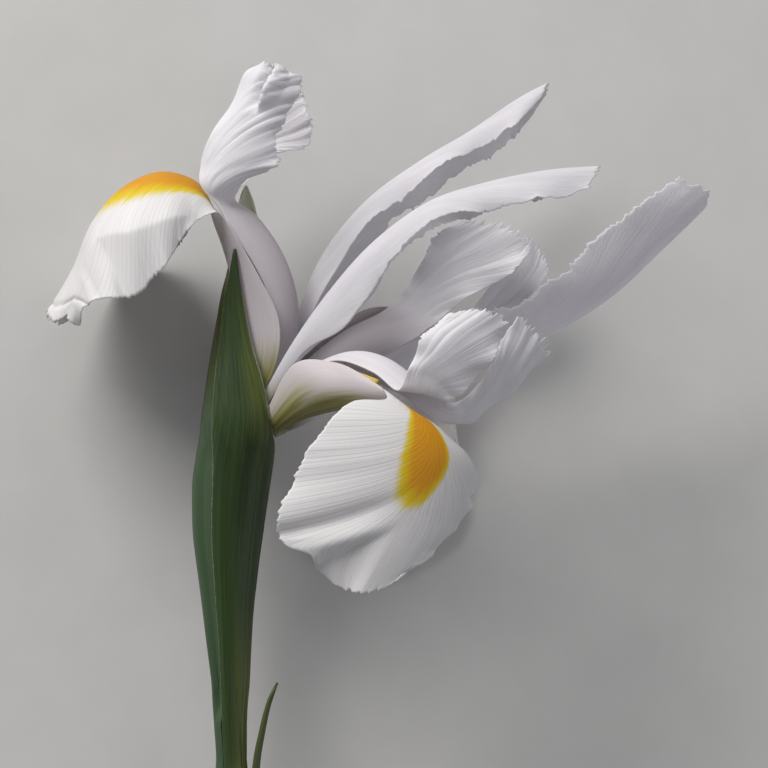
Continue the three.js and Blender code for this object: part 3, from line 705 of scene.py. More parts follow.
standard_right = [
    foot(180, STANDARD_SPREAD, STANDARD_FOOT_RADIUS),
    [[19.6, 75.4, -3.4], [20.6, 71.6, 0], [19.6, 75.4, 3.4]],
    [[32.8, 82, -4.6], [34, 76.6, -0.6], [32, 83.4, 3.8]],
    [[45.4, 87.6, -6.4], [48.6, 80.6, -1.4], [44, 90, 3.8]],
    [[57, 91, -8], [62.6, 86.4, -2], [54.6, 92.6, 3.6]],
    [[69.6, 98.2, -8.6], [75.6, 94.4, -2.4], [66.9, 99.9, 3.6]],
    [[80.8, 107.8, -7.4], [86.6, 104.6, -2.4], [78.6, 110.9, 3]],
    [[90.4, 115.6, -4.8], [96, 113.4, -2], [92, 119.4, 2]]
]

style_left = {
    "arm": [
        foot(0, STYLE_SPREAD, STYLE_MARGIN_RADIUS, STYLE_RIDGE_RADIUS),
        [[6.8, 78.4, -2.6], [9.2, 77.8, 0], [7.2, 78.4, 3.1]],
        [[8.4, 88, -4.6], [12.8, 87, 0], [8.4, 88, 4.6]],
        [[6.8, 95.6, -5.1], [12.6, 95, 0], [6.8, 95.6, 5.1]],
        [[3.8, 101.6, -5.4], [9.8, 103, 0], [3.8, 101.6, 5.4]],
        [[0.2, 107, -5.6], [4.8, 110.2, 0], [0.2, 107, 5.6]],
        [[-2.7, 112.2, -5.7], [0.4, 113.6, 0], [-2.7, 112.2, 5.7]]
    ],
    "left": [
        [[-5.6, 116.4, -6.6], [-1, 117, -7], [2.6, 117, -5]],
        [[-5.4, 121, -7], [1, 121.6, -8.6], [7.6, 123, -8]],
        [[-2.6, 126.6, -7], [5.8, 126.6, -9.4], [15.4, 124.6, -9]],
        [[0.6, 132.8, -6.6], [8, 132.2, -9], [15.8, 130.4, -9]],
        [[3.8, 137.6, -6.4], [9, 137.2, -8.4], [14.2, 134.6, -8.4]],
        [[6.4, 139.8, -6.6], [9.4, 140.8, -7.6], [11.6, 138.8, -7.6]]
    ],
    "right": [
        [[-6.2, 116.4, 6.2], [-1, 116.4, 6.8], [3, 117.8, 4.5]],
        [[-6.4, 121, 5.6], [1.2, 121, 8], [8.6, 120.2, 6.5]],
        [[-3.6, 127, 5], [3.2, 127, 8], [9.4, 126.2, 7.5]],
        [[-0.6, 132.8, 4.5], [5.8, 133, 8.4], [11.6, 132.2, 7.8]],
        [[2.6, 138.2, 4.5], [8, 138.2, 8], [13.6, 137, 6.6]],
        [[5.4, 141, 4.6], [8, 141.6, 6.4], [10.6, 139.8, 6]]
    ]
}

style_front = {
    "arm": [
        foot(120, STYLE_SPREAD, STYLE_MARGIN_RADIUS, STYLE_RIDGE_RADIUS),
        [[11.9, 77.6, 10.2], [14.9, 77.4, 6.8], [15.4, 73.2, 7]],
        [[20.4, 81.4, 15.4], [23.6, 82.4, 13.6], [23.4, 76, 13.8]],
        [[28, 79.2, 24], [31.6, 81.4, 20.8], [32.4, 75.4, 20.4]],
        [[33, 75.6, 29.6], [41.6, 73.8, 27.2], [41, 69.6, 23.6]]
    ],
    "left": [
        [[35.2, 79.6, 31], [39.6, 78.6, 30.6], [44.8, 74.8, 28.3]],
        [[37, 83.6, 31], [42.6, 82.4, 31], [49.2, 79.2, 28.8]],
        [[38.8, 87.6, 30], [45.6, 87, 30.6], [53, 84.2, 28.5]],
        [[44.4, 90.8, 28.5], [50.4, 92, 29], [55.4, 89.6, 27.4]]
    ],
    "right": [
        [[46.6, 69, 22.6], [46.6, 71.2, 24.6], [45.8, 73.6, 25.5]],
        [[52.2, 72, 21], [51.4, 74.6, 23.6], [50, 77.6, 25]],
        [[58.2, 77.6, 19.6], [56, 80.8, 22.6], [53, 83.8, 24]],
        [[64, 83, 18], [61.6, 87.6, 20.6], [57.2, 90.8, 22.4]]
    ]
}

style_back = {
    "arm": [
        foot(240, STYLE_SPREAD, STYLE_MARGIN_RADIUS, STYLE_RIDGE_RADIUS),
        [[15.4, 73.6, -6.6], [16.4, 78.8, -6.2], [13.4, 79.8, -8.6]],
        [[23.6, 78.8, -13], [24, 83.8, -12], [22, 87, -14]],
        [[31.6, 82, -18.6], [31.6, 86.6, -17.4], [29.4, 90.8, -19.6]],
        [[40.4, 83.6, -21.6], [39.4, 88, -22], [32.6, 93.4, -23.6]]
    ],
    "left": [
        [[47.6, 86.2, -24], [47.2, 88.8, -25.4], [48.4, 91.6, -25]],
        [[54, 90, -25.6], [53.4, 93.6, -27.4], [52, 97.4, -26.6]],
        [[60, 94.4, -26.6], [59.6, 98.8, -28.4], [57.6, 103.2, -27.6]],
        [[63.4, 98.8, -27.4], [62.6, 102.8, -28.4], [58.8, 107, -28]]
    ],
    "right": [
        [[35, 96.4, -24], [39.4, 94.4, -23.6], [43.8, 91.8, -22]],
        [[38.2, 101.8, -23], [44, 99, -22.6], [49.8, 95.6, -21]],
        [[41.2, 107, -22], [49.2, 103.4, -21.4], [56.6, 99.2, -20]],
        [[47, 109.4, -21], [54.8, 109, -20], [60, 104.2, -19]]
    ]
}

bract_front = [
    [SHEATH_FOOT, -2.65, 2.65, 2.65, 0, -30, 94],
    [4, -2.95, 2.6, 2.75, 0, -30, 94],
    [11, -3.45, 2.75, 3.1, 0, -30, 94],
    [17, -3.9, 3.2, 3.5, 0, -30, 96],
    [25, -4.7, 3.6, 4.2, 0, -28, 102],
    [34, -5.8, 4.3, 5, 0, -28, 104],
    [46, -7.3, 5.8, 6.2, 0, -28, 104],
    [56, -7.5, 7.2, 7, 0.3, -28, 100],
    [62, -7, 8.2, 6.9, 1.1, -32, 90],
    [66.5, -6.4, 9, 5.9, 2.5, -40, 64],
    [71, -5.6, 8.8, 4.3, 4, -45, 54],
    [76.6, -4.6, 7.2, 2.9, 4.6, -50, 60],
    [84.6, -2.6, 4.3, 1.7, 4.6, -66, 70],
    [93.6, -1.2, 2.3, 1, 4.6, -80, 80],
    [100.6, 0.4, 1.2, 0.3, 5.4, -80, 80]
]

bract_back = [
    [SHEATH_FOOT, -2.65, 2.65, 2.65, 0, 99, 325],
    [4, -2.95, 2.6, 2.75, 0, 99, 325],
    [13, -3.6, 2.85, 3.2, 0, 99, 325],
    [17, -3.9, 3.2, 3.5, 0, 70, 342],
    [25, -4.8, 3.6, 4.2, 0, 68, 348],
    [34, -5.8, 4.3, 5, 0, 70, 350],
    [46, -7.4, 5.8, 6, 0, 70, 350],
    [56, -7.7, 7.2, 6.4, 0, 72, 350],
    [62, -7, 8, 6.2, 0, 92, 345],
    [66.5, -6.2, 8, 6.6, -0.4, 145, 328],
    [71, -5.8, 6.6, 6.4, -1.2, 150, 322],
    [76.6, -5, 5.8, 5.6, -2.6, 145, 322],
    [84.6, -3.9, 5, 3.2, -5.1, 125, 324],
    [93.6, -2.3, 4.6, 2.4, -6.2, 115, 320],
    [101, -0.6, 5, 2, -7.2, 110, 296],
    [108, 0.2, 5.2, 1.4, -7.6, 105, 275],
    [114, 1.2, 3.8, 0.8, -8.2, 100, 262],
    [116.4, 2.1, 2.9, 0.3, -8.4, 100, 260]
]

stem_leaf = [
    [[-1, -56, -4.9], [4.1, -56, 0], [-1, -56, 4.9]],
    [[-0.4, -42, -4.9], [4.2, -42, 0], [-0.4, -42, 4.9]],
    [[2.6, -26, -3.8], [4.6, -26, 0], [2.6, -26, 3.8]],
    [[4.2, -10, -2.6], [5.4, -10, 0.2], [4.2, -10, 2.8]],
    [[4.6, 0, -1.6], [5.3, 0, 0.4], [4.2, 0, 2.2]],
    [[5.9, 8, -1], [6.5, 8, 0.4], [5.6, 7.8, 1.4]],
    [[7.7, 13.6, -0.4], [7.7, 13.4, 0.3], [7.2, 13.6, 0.9]],
    [[9.1, 17, -0.1], [9.1, 17.1, 0.2], [9, 17, 0.5]]
]


def placed(stations):
    """The foot is placed on the tube as it is, the other stations as seen from above."""
    return np.array([stations[0], *[seen(station) for station in stations[1:]]])


def waved(points, wave):
    """A grid moved along its own normals."""
    return points + grid_normals(points) * wave[..., None]


def signal_field(along, across, bend, reach, left, right):
    """Over 0 inside the yellow patch, which runs from the bend to reach, and 0 on its border."""
    side = np.where(across < 0, across / left, across / right)
    ahead = np.clip((along - bend) / (reach - bend), 0, None)
    behind = np.clip((bend - 0.14 - along) / 0.10, 0, None)
    return 1 - np.hypot(side, ahead**1.3) - behind


def rag(along, across, margins, seed):
    """How far each margin is cut back. margins gives left and right (depth, teeth, start)."""
    cut = 0
    for sign, (depth, teeth, start) in zip((-1, 1), margins):
        side = np.clip(across * sign, 0, 1) ** 4 * smoothstep(along, start, start + 0.2)
        cut = cut + depth * side * (fray(along * teeth + 40 * (sign + 1), seed + 3 * sign) - FRAY_MEAN)
    return cut


def tip_rag(along, across, depth, teeth, seed):
    """How far the tip is cut back, in shares of the length."""
    return depth * along**14 * (fray((across + 1) * teeth, seed) - FRAY_MEAN)


def add_petal(name, node, stations, grid, form):
    """A fall or standard. form gives its veins, margins, waves, pleats, folds and colours."""
    along, across = grid_of(*grid)
    seed = form["seed"]
    start = form["ruffle"][2]
    blade = smoothstep(along, start - 0.1, start + 0.15)
    cut = rag(along, across, form["margins"], seed)
    if "notches" in form:
        cut = cut + form["notches"](along, across)
    scallop, waves = form.get("scallops", (0.0, 1.0))
    cut = cut + scallop * margin_of(across, 4) * blade * ripple(along * waves + 9 * np.sign(across), seed + 5)
    tip = tip_rag(along, across, *form["tip"], seed + 10)
    for place, width, depth in form.get("splits", ()):
        tip = tip + depth * along**14 * bump_at(across, place, width)
    points = surface(placed(stations), along * (1 - tip), across * (1 - cut))
    vein, level = fan(along, across, form["veins"])
    wave = ruffle(along, across, *form["ruffle"])
    frill, count = form["frill"]
    wave = wave + frill * blade * margin_of(across, 5) * ripple(along * count + 50 * np.sign(across), seed)
    for height, count, power in form["pleats"]:
        seed += 20
        wave = wave + height * blade * margin_of(across, power) * layered(vein, level, count, seed)
    if "folds" in form:
        wave = wave + form["folds"](along, across)
    rim = np.maximum(margin_of(across, 6), along**20)
    no_signal = np.full_like(along, -1.0)
    values = {
        "thickness": thickness_at(rim, PETAL_THICKNESS),
        "vein": vein,
        "level": level,
        "run": along * 3,
        "edge": np.maximum(margin_of(across, 10), along**24),
        "painted_shade": form["painted_shade"](along, across),
        "green": form["green"](along, across),
        "signal": signal_field(along, across, *form["signal"]) if "signal" in form else no_signal,
    }
    sheet = Sheet()
    sheet.add(waved(points, wave), values)
    return thick_piece(name, node, sheet, form["material"], hidden={"signal": -1.0})


def crest_lobe(along, across, stations, before, shape, seed):
    """The points of a crest's lobe, and the places and levels of its veins."""
    # The teeth fade at the corners, where those of margin and tip would cross.
    cut = rag(along, across, shape["margins"], seed) * (1 - along**12)
    if "notches" in shape:
        cut = cut + shape["notches"](along, across)
    tip = tip_rag(along, across, *shape["tip"], seed + 10) * (1 - across**8) + shape["trim"] * along**6
    rows = surface(stations, along * (1 - tip), across * (1 - cut), before=before)
    vein, level = fan(along, across, shape["veins"])
    grown = smoothstep(along, 0, 0.15)
    clear = 0.15 + 0.85 * smoothstep(np.abs(across - shape["veins"][5]), 0.0, 0.7)
    wave = ruffle(along, across, *shape["ruffle"]) * grown
    for height, count, power in shape["pleats"]:
        seed += 7
        spread = np.maximum(along**power, margin_of(across, power)) * clear
        wave = wave + height * grown * spread * layered(vein, level, count, seed)
    if "folds" in shape:
        wave = wave + shape["folds"](along, across) * grown
    return waved(rows, wave), vein, level


def add_style(name, node, parts, form):
    """A style arm, arched over its stamen, and the two lobes of its crest."""
    arm = placed(parts["arm"])
    left = seen(parts["left"])
    right = seen(parts["right"])[:, ::-1]
    inner = (left[0, 2] + right[0, 0]) / 2
    after = [left[0, 0], inner, right[0, 2]]
    along, across = grid_of(*ARM_GRID)
    points = surface(arm, along, across, after=after)
    values = {
        "thickness": thickness_at(0.5 * margin_of(across, 6), PETAL_THICKNESS),
        "vein": across,
        "level": np.zeros_like(along),
        "run": along,
        "edge": 0.5 * margin_of(across, 8),
        # Painted shade on the arm, fading out towards the crest
        "painted_shade": form["painted_shade"] * (1 - smoothstep(along, 0.7, 1.1)),
        "green": form["green"] * (1 - smoothstep(along, 0.05, 0.4)),
        "signal": np.full_like(along, -1.0),
    }
    sheet = Sheet()
    number = sheet.add(points, values)
    half = ARM_GRID[1] // 2
    last_but_one = surface(arm[:-1], np.ones(5), np.linspace(-1, 1, 5))
    for side, (lobe, shape) in enumerate(zip((left, right), form["lobes"])):
        columns = slice(side * half, side * half + half + 1)
        stations = np.array([points[-1, columns][:: half // 2], *lobe])
        before = last_but_one[side * 2 : side * 2 + 3]
        along, across = grid_of(LOBE_ROWS, half)
        rows, vein, level = crest_lobe(along, across, stations, before, shape, form["seed"] + 50 * side)
        grown = smoothstep(along, 0, 0.15)
        carried = values["thickness"][-1, columns]
        thin = thickness_at(np.maximum(margin_of(across, 6), along**16), PETAL_THICKNESS)
        # The lobe's veins go on from the arm's, half of them to each lobe.
        extra = {
            "thickness": carried + (thin - carried) * grown,
            "vein": vein / 2 + side - 0.5,
            "level": level,
            "run": 1 + along * 2,
            "edge": np.maximum(margin_of(across, 8), along**14) * grown,
            # The lobes take the arm's painted shade at their foot and lose it quickly
            "painted_shade": values["painted_shade"][-1, 0] * (1 - smoothstep(along, 0.0, 0.2)),
            "green": np.zeros_like(along),
            "signal": np.full_like(along, -1.0),
        }
        sheet.add(rows, extra, first_row=number[-1, columns])
    return thick_piece(name, node, sheet, crest_white)


# Bracts, leaf, stem, ovary and stamens


def bract_points(stations, along, share, tuck):
    """Places round the spathe, where the inner bract's margins tuck under the outer one."""
    rows = on_curve(stations, along)
    height, left, right, depth, middle, first, last = (rows[..., i] for i in range(7))
    angle = np.radians(first + (last - first) * share)
    margin = 1 - smoothstep(np.minimum(share, 1 - share), *TUCKED_SHARE)
    begun = smoothstep(height, *TUCK_START)
    ended = smoothstep(height, *TUCK_END)
    inset = tuck * margin * (begun - ended)
    x = (left + right) / 2 + ((right - left) / 2 - inset) * np.sin(angle)
    z = middle + (depth - inset) * np.cos(angle)
    return np.stack([x, height, z], axis=-1), angle


def add_bract(name, node, stations, tuck, tip, seed, tones):
    """A spathe bract with fine ribs, its foot a collar on the stem and its tip drawn out by tip.

    tones gives the shares of its other colours, from the height and the share of the way round.
    """
    along, across = grid_of(*BRACT_GRID)
    share = 0.5 + across / 2 * (1 - 0.8 * along**30)
    points, angle = bract_points(stations, along, share, tuck)
    height = points[..., 1].copy()
    collar = 1 - smoothstep(height, SHEATH_FOOT, SHEATH_FOOT + COLLAR_HEIGHT)
    points[..., ::2] *= 1 + COLLAR_FLARE * collar[..., None]
    points[..., 1] += tip * smoothstep(along, 0.95, 1.0) - COLLAR_DROP * collar
    wave = 0.05 * rough(angle * 10, seed, 2) + 0.12 * rough(along * 7 + across * 2, seed + 9)
    values = {
        "thickness": thickness_at(np.maximum(margin_of(across, 5), along**12), BRACT_THICKNESS),
        "vein": angle / math.pi,
        "run": along * 3,
        **tones(height, share),
    }
    low_olive = 0.75 * smoothstep(-height, -38.0, -12.0) * smoothstep(points[..., 0], -1.0, 3.0)
    values["olive"] = np.maximum(low_olive, values["olive"])
    sheet = Sheet()
    sheet.add(waved(points, wave), values)
    return thick_piece(name, node, sheet, bract_green)


def front_tones(height, share):
    """The outer bract: pale margins, the right one wider towards the tip, and painted light, a bluer, lighter
    left side where the soft light falls.
    """
    left = 0.03 + 0.05 * smoothstep(height, 75.0, 101.0)
    right = 0.03 + 0.22 * smoothstep(height, 66.0, 90.0)
    left_share = 0.46 + 0.16 * smoothstep(height, 72.0, 92.0)
    return {
        "pale": np.maximum(left_share * (1 - share / left), 0.62 * (1 - (1 - share) / right)),
        "light": 0.3 * (1 - smoothstep(share, 0.0, 0.2)),
        "olive": 0.6 * smoothstep(share, 0.4, 0.85) * bump_at(height, 79.0, 13.0),
    }


def back_tones(height, share):
    """The inner bract: pale margins, a papery tip, and painted light, a lighter blue-green on its left below
    the bloom, where the soft light falls.
    """
    width = 0.03 + 0.3 * smoothstep(height, 80.0, 104.0)
    margins = 0.6 * smoothstep(height, 55.0, 75.0) * np.maximum(1 - share / width, 1 - (1 - share) / width)
    return {
        "pale": np.maximum(margins, 0.85 * smoothstep(height, 97.0, 108.0)),
        "light": 0.9 * smoothstep(share, 0.55, 0.8) * (1 - smoothstep(height, 68.0, 86.0)),
        "olive": 0.75 * smoothstep(share, 0.6, 0.85) * smoothstep(height, 68.0, 86.0),
    }


def add_leaf():
    """The leaf, whose foot hugs the stem and dips in its middle."""
    along, across = grid_of(*LEAF_GRID)
    points = surface(stem_leaf, along, across)
    hug = 1 - smoothstep(along, 0.0, 0.16)
    distance = np.hypot(points[..., 0], points[..., 2])
    points[..., ::2] *= (1 + hug * ((STEM_RADIUS + GAP) / distance - 1))[..., None]
    points[..., 1] -= LEAF_FOOT_DROP * hug * (1 - across**2)
    wave = 0.04 * rough(across * 9, 71, 2)
    values = {
        "thickness": thickness_at(np.maximum(margin_of(across, 5), along**12), BRACT_THICKNESS),
        "vein": across * 0.6,
        "run": along * 3,
        "pale": 0.8 * smoothstep(-across, 0.7, 1.0),
        # The leaf takes an even share of the painted light's blue-green
        "light": np.full_like(along, 0.25),
        "olive": np.full_like(along, 0.45),
    }
    sheet = Sheet()
    sheet.add(waved(points, wave), values)
    return thick_piece("iris_stem_leaf", "stem_leaf", sheet, bract_green)


def tube(centres, radii, directions, sides, ridge=0.0, ridges=0, seed=0):
    """Rings of points round a line. Each ring stands across its direction."""
    rows = []
    angles = np.linspace(0, 2 * math.pi, sides, endpoint=False)
    for centre, radius, direction in zip(centres, radii, directions):
        direction = direction / np.linalg.norm(direction)
        side = np.cross([0.0, 0.0, 1.0], direction)
        side /= np.linalg.norm(side)
        front = np.cross(direction, side)
        size = radius * (1 + ridge * rough(angles / (2 * math.pi) * ridges, seed, 2))
        ring = np.outer(np.cos(angles) * size, side) + np.outer(np.sin(angles) * size, front)
        rows.append(centre + ring)
    return np.array(rows)


def tube_piece(name, node, rows, values, material):
    """A closed piece from rings, with a flat fan of faces at each end."""
    rings, sides = rows.shape[:2]
    number = np.arange(rings * sides).reshape(rings, sides)
    after = np.roll(number, -1, axis=1)
    corners = [number[:-1], number[1:], after[1:], after[:-1]]
    faces = np.stack(corners, axis=-1).reshape(-1, 4).tolist()
    points = np.vstack([rows.reshape(-1, 3), rows[0].mean(axis=0), rows[-1].mean(axis=0)])
    first, last = rings * sides, rings * sides + 1
    for i in range(sides):
        j = (i + 1) % sides
        faces.append([first, i, j])
        faces.append([last, number[-1, j], number[-1, i]])
    flat = {key: np.append(value.reshape(-1), [value[0, 0], value[-1, 0]]) for key, value in values.items()}
    points = laid(points)
    points[:, 2] = np.maximum(points[:, 2], 0.0)
    return new_piece(name, node, points, faces, flat, material)


def add_stem():
    """The stem, with fine ribs and a clean cut at its foot."""
    shoulder = SHEATH_FOOT - GAP
    y = np.linspace(stem_foot[1], shoulder, STEM_RINGS)
    y = np.concatenate([[y[0]], y, [shoulder, STEM_TOP]])
    radius = np.full(len(y), STEM_RADIUS)
    radius[0] = STEM_RADIUS * CUT_SHARE
    radius[-2:] = STEM_NECK_RADIUS
    centres = np.stack([0 * y, y, 0 * y], axis=-1)
    directions = np.tile([0.0, 1.0, 0.0], (len(y), 1))
    rows = tube(centres, radius, directions, STEM_SIDES, ridge=0.02, ridges=22, seed=81)
    turn = np.tile(np.linspace(-1, 1, STEM_SIDES), (len(y), 1))
    height = rows[..., 1]
    cut = np.zeros_like(height)
    cut[:2] = 1.0
    values = {
        "vein": turn,
        "run": height / 40,
        "inner": np.ones_like(height),
        "cut": cut,
        "olive": 0.8 * smoothstep(rows[..., 0], -0.5, 2.5),
    }
    return tube_piece("iris_stem", "stem", rows, values, stem_green)


ovary_line = [
    [0, STEM_TOP + GAP, 0, STEM_NECK_RADIUS],
    [0, 34, 0, 1.9],
    [0.1, 39, 0, 2.9],
    [0.2, 45, 0, 3.2],
    [0.7, 52, 0, 3.5],
    [1.6, 58, 0, 2.9],
    [2.8, 63, 0, 2.3],
    [*(TUBE_TOP - 3 * FLOWER_AXIS), 2.5],
    [*TUBE_TOP, TUBE_RADIUS],
]


def tube_along(line, rings, sides, **ridges):
    """A tube whose line gives each centre and radius."""
    spots = on_curve(line, np.linspace(0, 1, rings))
    directions = np.gradient(spots[:, :3], axis=0)
    return tube(spots[:, :3], spots[:, 3], directions, sides, **ridges)


def add_ovary():
    """The ovary and the tube above it, six-ribbed."""
    rows = tube_along(ovary_line, OVARY_RINGS, OVARY_SIDES, ridge=0.05, ridges=6, seed=91)
    turn = np.tile(np.linspace(-1, 1, OVARY_SIDES), (OVARY_RINGS, 1))
    values = {
        "vein": turn,
        "run": rows[..., 1] / 40,
        "inner": np.ones_like(turn),
        "cut": np.zeros_like(turn),
        "olive": np.full_like(turn, 0.3),
    }
    return tube_piece("iris_ovary", "ovary", rows, values, stem_green)


stamens = {
    "left": (0, [[4.4, 79, 0], [5.6, 88, 0], [5, 95, 0], [1.6, 105.4, 0]]),
    "front": (120, [[14.9, 76.6, 11], [19.4, 78, 14.8], [23, 79, 18.2], [29.2, 77, 25.2]]),
    "back": (240, [[15.6, 76.6, -10.2], [19.8, 79.8, -13.4], [23.8, 82.6, -16.4], [31.4, 86.2, -21.4]]),
}


def add_stamen(side, degrees, path, seed):
    """A thin filament and its anther, which is grooved along."""
    first, second, third, end = seen(path)
    line = [[*whorl(degrees, STAMEN_FOOT_RADIUS, GAP), FILAMENT_RADIUS]]
    line += [[*first, FILAMENT_RADIUS], [*second, FILAMENT_RADIUS], [*third, FILAMENT_RADIUS]]
    for share, size in ((0.08, 1), (0.5, 1), (0.92, 0.8)):
        line.append([*(third + (end - third) * share), ANTHER_RADIUS * size])
    line.append([*end, FILAMENT_RADIUS])
    rows = tube_along(line, STAMEN_RINGS, STAMEN_SIDES, ridge=0.10, ridges=6, seed=seed)
    place = np.linspace(0, len(line) - 1, STAMEN_RINGS)
    anther = np.tile(smoothstep(place, *ANTHER_START)[:, None], (1, STAMEN_SIDES))
    tube_piece(f"iris_stamen_{side}", f"stamen_{side}", rows, {"anther": anther}, stamen_cream)


# The pieces


def haft_green(along, across):
    """The haft's foot is green."""
    return 1 - smoothstep(along, 0.02, 0.2)


def outer_haft_green(along, across):
    """The haft's lower half is green, and only the foot is green above it."""
    foot_green = (0.35 + 0.65 * smoothstep(across, -0.8, 0.0)) * haft_green(along, across)
    lower = 0.85 * smoothstep(across, -0.4, 0.6)
    return np.maximum(foot_green, lower * (1 - smoothstep(along, 0.18, 0.38)))


def claw_green(along, across):
    return 0.6 * (1 - smoothstep(along, 0.02, 0.14))


def haft_painted_shade(along, across):
    """Painted shade: the haft and its flaps are painted greyer and pinker than the blade, for the shade they
    lie in.
    """
    return 0.6 * (1 - smoothstep(along, 0.3, 0.48))


# Standards get no painted shade
def no_painted_shade(along, across):
    return np.zeros_like(along)


# The places across of two folds, at some shares of the length
LEFT_CREASE = ((0.58, 0.667, 0.75, 0.82), (0.90, 0.79, 0.71, 0.54))
CURL_LINE = ((0.6, 0.83, 0.95, 1.0), (0.06, -0.07, -0.2, -0.22))


def left_folds(along, across):
    """A crease along the near flank, pleats below it, and a tip that flares from a groove."""
    line = np.interp(along, *LEFT_CREASE)
    begun = smoothstep(along, 0.57, 0.65) * (1 - smoothstep(along, 0.72, 0.92))
    rise = smoothstep(across, line - 0.4, line)
    drop = np.clip((across - line) / 0.25, 0, None)
    pleats = 0.16 * np.clip(drop, 0, 1) * smoothstep(along, 0.55, 0.64) * ripple(along * 60, 105)
    past = along - 0.985 + 0.065 * np.clip(across, 0, 1) ** 2
    flare = 5 * np.clip(past, 0, None) - 0.4 * bump_at(past, 0, 0.005)
    flutes = 0.3 * smoothstep(along, 0.95, 1.0) * ripple(across * 7, 107)
    return begun * (0.8 * rise - 4.2 * drop) + pleats + flare + flutes


def front_folds(along, across):
    """The end of the blade hangs back behind a fold that runs in from the left margin."""
    side = smoothstep(-across, 0.0, 0.5)
    past = along - 0.82 - 0.11 * np.abs(across)
    fold = 0.5 * bump_at(past, -0.01, 0.02) - 0.9 * bump_at(past, -0.075, 0.035)
    behind = -1.7 * smoothstep(past, 0.0, 0.035)
    crumple = 0.9 * np.clip(across, 0, 1) ** 6 * smoothstep(along, 0.7, 0.8) * ripple(along * 40, 137)
    return side * (fold + behind) + crumple


def front_notches(along, across):
    """Behind the fold, the left margin is notched."""
    notch = 0.17 * smoothstep(along, 0.893, 0.918) * (1 - smoothstep(along, 0.925, 0.995))
    return notch * np.clip(-across, 0, 1) ** 4


def narrow_slit(along, across):
    """The near lobe's inner margin stands out, which narrows the slit between the lobes."""
    stand_out = smoothstep(along, 0.08, 0.3) * (1 - smoothstep(along, 0.6, 0.85))
    return -0.09 * stand_out * np.clip(across, 0, 1) ** 4


def curled_fold(along, across):
    """Towards the tip of the near lobe, its inner side curls forward over a hollow."""
    line = np.interp(along, *CURL_LINE)
    line = line + 0.18 * (fray(along * 11, 307) - FRAY_MEAN)
    begun = smoothstep(along, 0.60, 0.74)
    flap = smoothstep(line - across, -0.02, 0.02)
    raised = 2.2 * flap * (1 - 0.7 * smoothstep(line - across, 0.0, 0.6))
    raised = raised * (1 - 0.8 * smoothstep(along, 0.86, 1.0))
    hollow = -2.4 * (1 - flap) * (1 - smoothstep(across, line, 0.55))
    return begun * (raised + hollow)


# Start, end, rates to the left, to the right and beyond the end, hinge, half width
LEFT_VEINS = (0.42, 0.82, 11.0, 7.5, 3.0, 0.0, 0.22)
FRONT_VEINS = (0.42, 0.86, 15.0, 6.0, 3.5, 0.0, 0.33)
BACK_VEINS = (0.42, 0.86, 8.0, 8.0, 3.5, 0.0, 0.33)
STANDARD_VEINS = (0.28, 0.9, 2.6, 2.6, 2.6, 0.0, 0.12)
FALL_PLEATS = [(0.45, 2.5, 2.0), (0.16, 6.0, 1.5), (0.04, 20.0, 1.0)]
STANDARD_PLEATS = [(0.22, 3.0, 2.0), (0.05, 12.0, 1.0)]
CREST_PLEATS = [(0.5, 3.0, 2.0), (0.34, 7.0, 1.3), (0.06, 20.0, 1.0)]
SOFT_PLEATS = [(0.5, 2.5, 2.0), (0.18, 6.0, 1.3), (0.04, 20.0, 1.0)]

fall_form = {"material": petal_white, "pleats": FALL_PLEATS, "painted_shade": haft_painted_shade, "green": haft_green}
fall_left_form = fall_form | {
    "seed": 101,
    "veins": LEFT_VEINS,
    "margins": ((0.06, 30, 0.4), (0.045, 34, 0.42)),
    "tip": (0.016, 9),
    "splits": [(0.72, 0.03, 0.014), (0.45, 0.2, -0.008), (-0.1, 0.35, 0.008)],
    "frill": (0.2, 22),
    "ruffle": (3.2, 0.5, 0.45, 0.4),
    "folds": left_folds,
    "signal": (0.50, 0.82, 0.55, 0.60),
}
fall_front_form = fall_form | {
    "seed": 131,
    "veins": FRONT_VEINS,
    "margins": ((0.035, 34, 0.42), (0.04, 30, 0.42)),
    "tip": (0.014, 9),
    "frill": (0.12, 22),
    "ruffle": (3.2, 0.6, 0.45, 2.1),
    "pleats": [(0.42, 2.5, 2.0), (0.06, 6.0, 1.5)],
    "folds": front_folds,
    "notches": front_notches,
    "green": outer_haft_green,
    "signal": (0.48, 0.79, 0.38, 0.24),
}
fall_back_form = fall_form | {
    "seed": 161,
    "veins": BACK_VEINS,
    "margins": ((0.05, 32, 0.42), (0.05, 32, 0.42)),
    "tip": (0.03, 9),
    "frill": (0.3, 22),
    "ruffle": (3.2, 0.9, 0.45, 4.4),
    "signal": (0.50, 0.80, 0.45, 0.45),
}


def standard_form(seed, scallop, frill, turn, **changes):
    """A standard whose margins wave by scallop across it and by frill out of it."""
    form = {
        "seed": seed,
        "material": standard_white,
        "veins": STANDARD_VEINS,
        "margins": ((0.14, 20, 0.3), (0.14, 24, 0.3)),
        "scallops": (scallop, 13),
        "tip": (0.02, 7),
        "frill": (frill, 15),
        "ruffle": (4, 0.7, 0.3, turn),
        "pleats": STANDARD_PLEATS,
        "painted_shade": no_painted_shade,
        "green": claw_green,
    }
    return form | changes


# A rim is (depth, teeth, start). A lobe's inner margin is its second one on the left lobe and its
# first on the right one.
PLAIN_RIM = (0.0, 20, 0.1)
TORN_RIM = (0.26, 14, 0.12)
TOP_RIM = (0.18, 22, 0.42)
LATE_RIM = (0.16, 20, 0.62)


def lobe_form(side, rate, margins, width=0.22, **changes):
    """A lobe whose veins fan out from its outer edge, on side -1 or 1."""
    form = {
        "veins": (0.0, 1.2, rate, rate, rate, side, width),
        "margins": margins,
        "tip": (0.09, 6),
        "trim": 0.02,
        "ruffle": (2.6, 0.6, 0.1, 0),
        "pleats": CREST_PLEATS,
    }
    return form | changes


